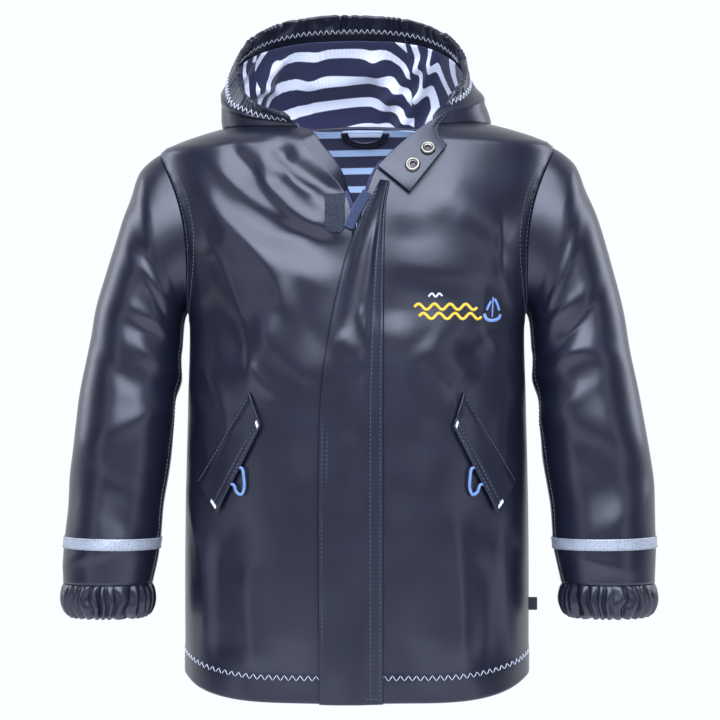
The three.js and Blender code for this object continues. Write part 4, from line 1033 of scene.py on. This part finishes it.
# Storm flap: a double strip of the coated cloth, 54 mm wide, sewn to the left front and closed
# over the zip. It is stitched twice along each side and once across its lower end, and its upper
# end rolls open.
FLAP_BOTTOM_Z, FLAP_TOP, FLAP_WIDE = -504, 452, 54
FLAP_SEWN = 1.85  # the stitches' height over the flap's underside
flap_rows = {"at": (0, 238, 307, 384, 410, 433, 452), "free": (-32, -32, -26, -10.3, -0.5, 11, 20),
             "seam": (22.4, 22.4, 22.6, 23, 23.5, 24.5, 28), "stand": (1.2, 1.4, 2, 4, 6, 7, 6)}


def flap_point(u, at):
    """Points of the flap's underside, by place across it and height up it."""
    x = mix(read(flap_rows, "free", at), read(flap_rows, "seam", at), u)
    point, out = on_front(x, FLAP_BOTTOM_Z + at)
    high = 1.4 + (read(flap_rows, "stand", at) - 1.2) * (1 - u) ** 1.4
    return point, out, mix(high, 0.5, smooth((u - 0.82) / 0.18))


flap_folds = [
    # across1, up1, across2, up2, wide, high, bend, steep, in millimetres from the flap's lower end
    (24, 425, 17, 325, 8, -2.0, 1, 0.7), (38, 410, 34, 345, 7, 1.3, -1, 0.8),
    (28, 340, 44, 314, 5, 1.4, 2, 0.7),
    (12, 318, 34, 292, 6, 1.2, -2, 1), (26, 300, 22, 236, 6, -1.1, 2, 1),
    (38, 282, 30, 214, 6, 1.0, -2, 0.8), (14, 238, 20, 150, 7, -0.8, 2, 1),
    (36, 176, 32, 60, 8, -0.9, -2, 1), (16, 120, 14, 20, 7, 0.9, 1, 1),
]
u = crowded(56, 0.5)[None, :]
at = FLAP_TOP * crowded(170, 0.4)[:, None]
point, out, lift = flap_point(u, at)
drape = sum(fold_height(*fold, u * FLAP_WIDE, at) for fold in flap_folds)
lift = lift + (drape + 1) * smooth(u / 0.16) * smooth((0.8 - u) / 0.16) * smooth((FLAP_TOP - at) / 60)
ripple = (0.5 * np.sin(at / 31 + 2 * np.sin(at / 57)) * (1 - u)
          + 0.35 * np.sin(at / 13 + 4 * u) * (1 - u) ** 2)
upper = lift + 1.8 + 0.3 * smooth((0.12 - u) / 0.04) + ripple * smooth((FLAP_TOP - at) / 60) * 0.5
upper = upper - 0.35 * np.exp(-((u - 0.80) / 0.012) ** 2) - 0.35 * np.exp(-((u - 0.955) / 0.012) ** 2)
flap = wall("storm_flap_strip", point, out, lift, upper, [coated], edge=0.7)
place(flap, "shell_cloth", "storm_flap")
rows = []
for u_at, low_at, high_at in ((0.045, 2, 448), (0.12, 2, 448), (0.80, 4, 400), (0.955, 4, 430)):
    at = np.linspace(low_at, high_at, 400)
    point, out, lift = flap_point(np.full(400, u_at), at)
    rows.append(lockstitch(point + out * (lift + FLAP_SEWN)[:, None], out))
across = np.linspace(0.04, 0.96, 60)
point, out, lift = flap_point(across, np.full(60, 5.5))
rows.append(lockstitch(point + out * (lift + FLAP_SEWN)[:, None], out))
sew("flap_stitching", rows, navy_thread)

# Neck band: the right front's edge beside the neck, turned back into the neck opening as a narrow
# strip of the coated cloth, caught in the zip's seam.
u, v = np.linspace(0, 1, 16)[None, :], np.linspace(0, 1, 70)[:, None]


def band_point(u, v):
    s = mix(414, 522, v) + 0 * u
    edge = plain_body(ring_angle(read(right_edge, "x", s), s), s)
    top, low = smooth((v - 0.45) / 0.4), 1 - smooth((v - 0.08) / 0.16)
    across = u * mix(mix(10.5, 5, low), 13.5, top)
    rise = u * mix(8.5 * smooth((v - 0.05) * 3), -2.5, top)
    back = mix(2.3, 5.0, low) + 6.5 * u
    return edge + np.stack(np.broadcast_arrays(mix(-1.8, -0.8, low) + across, back, 1 + rise), -1)


point = band_point(u, v)
out = facing(point)
band = wall("neck_band_strip", point, out, -1, 0.6, [coated], edge=0.5)
place(band, "shell_cloth", "neck_band_right")

# Snap tab: a double piece of the coated cloth at the hood's left corner, folded outward over the
# chest, edge-stitched, with two snap sockets of antiqued nickel riveted through it.
tab_a, tab_b = np.array([18.5, -88, -38.5]), np.array([46, -93.5, -60.5])
tab_c, tab_d = np.array([78, -81, -21]), np.array([82, -55.5, 12])
TAB_THICK = 2.2


def tab_point(u, v):
    u, v = np.broadcast_arrays(np.asarray(u, float), np.asarray(v, float))
    u, v = u[..., None], v[..., None]
    crown = 4 * v * (1 - v)
    flat = mix(mix(tab_a, tab_b, u), mix(tab_d, tab_c, u), v)
    drawn_in = -10 * np.sin(math.pi * u) * v**2 * np.array([1, 0, 0])
    return flat + crown * np.array([0, -5, 0]) + (1 - u) * crown * np.array([-1, 1.5, 3.5]) + drawn_in


u, v = crowded(44, 0.7)[None, :], crowded(56, 0.7)[:, None]
point = tab_point(u, v)
out = facing(point)
ripple = 0.35 * np.sin(9 * v + 5 * u) * np.sin(math.pi * u) * np.sin(math.pi * v)
tab = wall("snap_tab_piece", point, out, 0, TAB_THICK + ripple, [coated], edge=0.8)
place(tab, "shell_cloth", "snap_tab")
side_u, side_v = 0.06, 0.04
corners = [(side_u, side_v), (1 - side_u, side_v), (1 - side_u, 1 - side_v), (side_u, 1 - side_v)]
rows = []
for (u1, v1), (u2, v2) in zip(corners, corners[1:] + corners[:1]):
    uu, vv = np.linspace(u1, u2, 60), np.linspace(v1, v2, 60)
    spots = tab_point(uu, vv)
    outs = unit(np.cross(tab_point(uu + 0.02, vv) - tab_point(uu - 0.02, vv),
                         tab_point(uu, vv + 0.02) - tab_point(uu, vv - 0.02)))
    rows.append(lockstitch(spots + outs * TAB_THICK, outs))
sew("tab_stitching", rows, navy_thread)

socket_profile = [
    # radius, height
    (2.3, -0.1), (6.6, -0.1), (6.75, 0.3), (6.6, 0.95), (6.2, 1.5), (5.6, 1.85), (4.9, 1.9),
    (4.3, 1.75), (3.9, 1.35), (3.5, 1.1), (2.9, 1.05), (2.5, 0.8), (2.3, 0.4), (2.3, -0.1),
]
for name, u, v in (("upper", 0.70, 0.67), ("lower", 0.65, 0.31)):
    seat = tab_point(u, v)
    out = unit(np.cross(tab_point(u + 0.05, v) - seat, tab_point(u, v + 0.05) - seat))
    east = unit(np.cross(out, np.array([0, 0, 1])))
    north = np.cross(out, east)
    count = 48
    turn = np.linspace(0, FULL_TURN, count, endpoint=False)
    point = np.array([[seat + out * (2.9 + h) + r * (east * math.cos(k) - north * math.sin(k))
                       for k in turn] for r, h in socket_profile])
    verts = point.reshape(-1, 3)
    j, i = np.mgrid[0:len(socket_profile) - 1, 0:count]
    at = lambda j, i: (j * count + i % count).ravel()
    faces = np.stack([at(j, i), at(j, i + 1), at(j + 1, i + 1), at(j + 1, i)], -1)
    place(surface(f"snap_{name}", verts, faces, [nickel]), "snap_metal", f"snap_socket_{name}")

# Pocket flaps: double pieces of the coated cloth, set slanting and sewn along their upper edge,
# double-stitched along the free edge, with a white bartack at each end.
pocket = {"sewn_top": (92, -235), "sewn_low": (138, -312),
          "free_top": (82, -263), "free_low": (120, -339)}


def pocket_point(u, v, sign):
    low = [mix(a, b, u) for a, b in zip(pocket["sewn_low"], pocket["free_low"])]
    top = [mix(a, b, u) for a, b in zip(pocket["sewn_top"], pocket["free_top"])]
    point, out = on_front(sign * mix(low[0], top[0], v), mix(low[1], top[1], v))
    return point, out, np.where(u < 0.25, mix(0.6, 2.2, smooth(u / 0.25)), 1.7 + 2.0 * u) + 0 * v


for side, sign in (("left", 1), ("right", -1)):
    u, v = crowded(40, 0.7), crowded(70, 0.6)[:, None]
    u = (u[::-1] if side == "left" else u)[None, :]
    point, out, lift = pocket_point(u, v, sign)
    ripple = 0.3 * np.sin(11 * v + sign) * u
    allowance = 0.35 * smooth((u - 0.78) / 0.05) - 0.3 * np.exp(-((u - 0.78) / 0.015) ** 2)
    upper = lift + 2 + ripple + allowance
    flap = wall(f"pocket_flap_piece_{side}", point, out, lift, upper, [coated], edge=0.7)
    place(flap, "shell_cloth", f"pocket_flap_{side}")
    rows = []
    for u_at in (0.05, 0.80, 0.94):
        v = np.linspace(0.02, 0.98, 120)
        point, out, lift = pocket_point(np.full(120, u_at), v, sign)
        rows.append(lockstitch(point + out * (lift + 2.2)[:, None], out))
    sew(f"pocket_stitching_{side}", rows, navy_thread)
    rows = []
    for v_at, long in ((0.965, 0.5), (0.035, 0.7)):
        for step in np.linspace(-0.012, 0.012, 6):
            u = np.linspace(0.93 - long / 3, 0.95, 7)
            v = v_at + step + 0.004 * (-1) ** np.arange(7)
            point, out, lift = pocket_point(u, v, sign)
            rows.append(((point + out * (lift + 2.5)[:, None])[None], out[None]))
    sew(f"pocket_bartacks_{side}", rows, white_thread, radius=0.25)

# Embroidery on the left chest: a plain seaside motif in rayon thread, satin-stitched through the
# coated cloth: a light blue boat at the right of two yellow waves, and a white gull above them.
# Rayon shines along its threads, so the stitches look a little brighter than the sewing.
yellow = plain("rayon_thread_yellow", "#dab418", 0.4, 0.3)
blue = plain("rayon_thread_light_blue", "#6f8fc8", 0.4, 0.3)
SATIN_PITCH, SATIN_THREAD = 0.5, 0.3  # between threads, and a thread's radius


def satin(line, width):
    """Threads side by side across a line on the front, given as x and z."""
    side = beside(line)
    count = int(run_along(line)[-1] / SATIN_PITCH)
    found = along_line(np.concatenate([line, np.zeros((len(line), 1)), side], -1),
                       np.arange(count) * SATIN_PITCH)
    reach = np.array([-0.5, -0.3, 0, 0.3, 0.5]) * width
    spots = found[:, None, :2] + found[:, None, 3:] * reach[None, :, None]
    point, out = on_front(spots[..., 0], spots[..., 1])
    return point + out * np.array([0.1, 0.55, 0.7, 0.55, 0.1])[:, None], out


x = np.linspace(50, 104, 160)
waves = [np.stack([x + shift, level + 2.6 * np.sin((x - 50) / 54 * FULL_TURN * 4)], -1)
         for level, shift in ((-160, 0), (-168, 4))]
sew("embroidery_waves", [satin(wave, 2.6) for wave in waves], yellow, radius=SATIN_THREAD, sides=4)
gull = through([(62, -151), (65, -148.5), (68, -151.5), (71, -148.5), (74, -151)], 60)
sew("embroidery_gull", [satin(gull, 1.6)], white_thread, radius=SATIN_THREAD, sides=4)
hull = through([(110, -166), (113, -170.5), (119, -171.5), (125, -170), (128, -166)], 60)
mast = through([(118.5, -168), (118.5, -151)], 30)
sail = through([(120.5, -153), (124, -158), (126.5, -163)], 30)
jib = through([(116.5, -155), (114, -159), (112, -163)], 30)
rows = [satin(mast, 1.3), satin(hull, 3.0), satin(sail, 2.6), satin(jib, 2.2)]
sew("embroidery_boat", rows, blue, radius=SATIN_THREAD, sides=4)

# Inside the back of the neck: a woven label, bare, and the hanger loop of coated cloth; at the
# left side seam a small folded tag, bare as well. Both are woven of fine yarns: matt, with their
# rows drawn 1.2 mm apart so that they show.
damask = woven("damask_label_pale", {"Base Color": linear("#b4bfd2"), "Roughness": 0.7}, 0.0012, 0.4,
               "Z")
black = woven("woven_tag_black", {"Base Color": linear("#15161b"), "Roughness": 0.75}, 0.0012, 0.4,
              "Z")
LINED = INNER + LINING
u, v = np.linspace(0, 1, 24)[None, :], np.linspace(0, 1, 40)[:, None]
s = mix(507, 521, u) + 0 * v
point, out = body(ring_angle(mix(24, -13, v) + 0 * u, s, 1), s)
label = wall("neck_label_cloth", point, out, -LINED - 1.2, -LINED - 0.4, [damask], edge=0.2)
place(label, "label_pale", "neck_label")
u, v = np.linspace(0, 1, 10)[None, :], np.linspace(0, 1, 60)[:, None]
reach = mix(22.5, 16.5, u)
s = 519 - 1.45 * reach * np.sin(math.pi * v)
point, out = body(ring_angle(7.5 - reach * np.cos(math.pi * v), s, 1), s)
strip = wall("hanger_loop_strip", point, out, -LINED - 3.4, -LINED - 1.8, [coated], edge=0.4)
place(strip, "shell_cloth", "hanger_loop")
low, high = (np.array(corner) * 1000 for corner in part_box("side_label"))
z = np.linspace(low[2], high[2], 12)[:, None]
x = np.linspace(low[0], high[0] - 0.4, 14)[None, :]
point = np.stack(np.broadcast_arrays(x, (low[1] + high[1]) / 2 + 0.25 * np.sin(z / 3), z), -1)
out = np.broadcast_to([0.0, -1.0, 0.0], point.shape)
tag = wall("side_tag", point, out, -0.45, 0.45, [black], edge=0.35)
place(tag, "label_black", "side_label")

low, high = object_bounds()
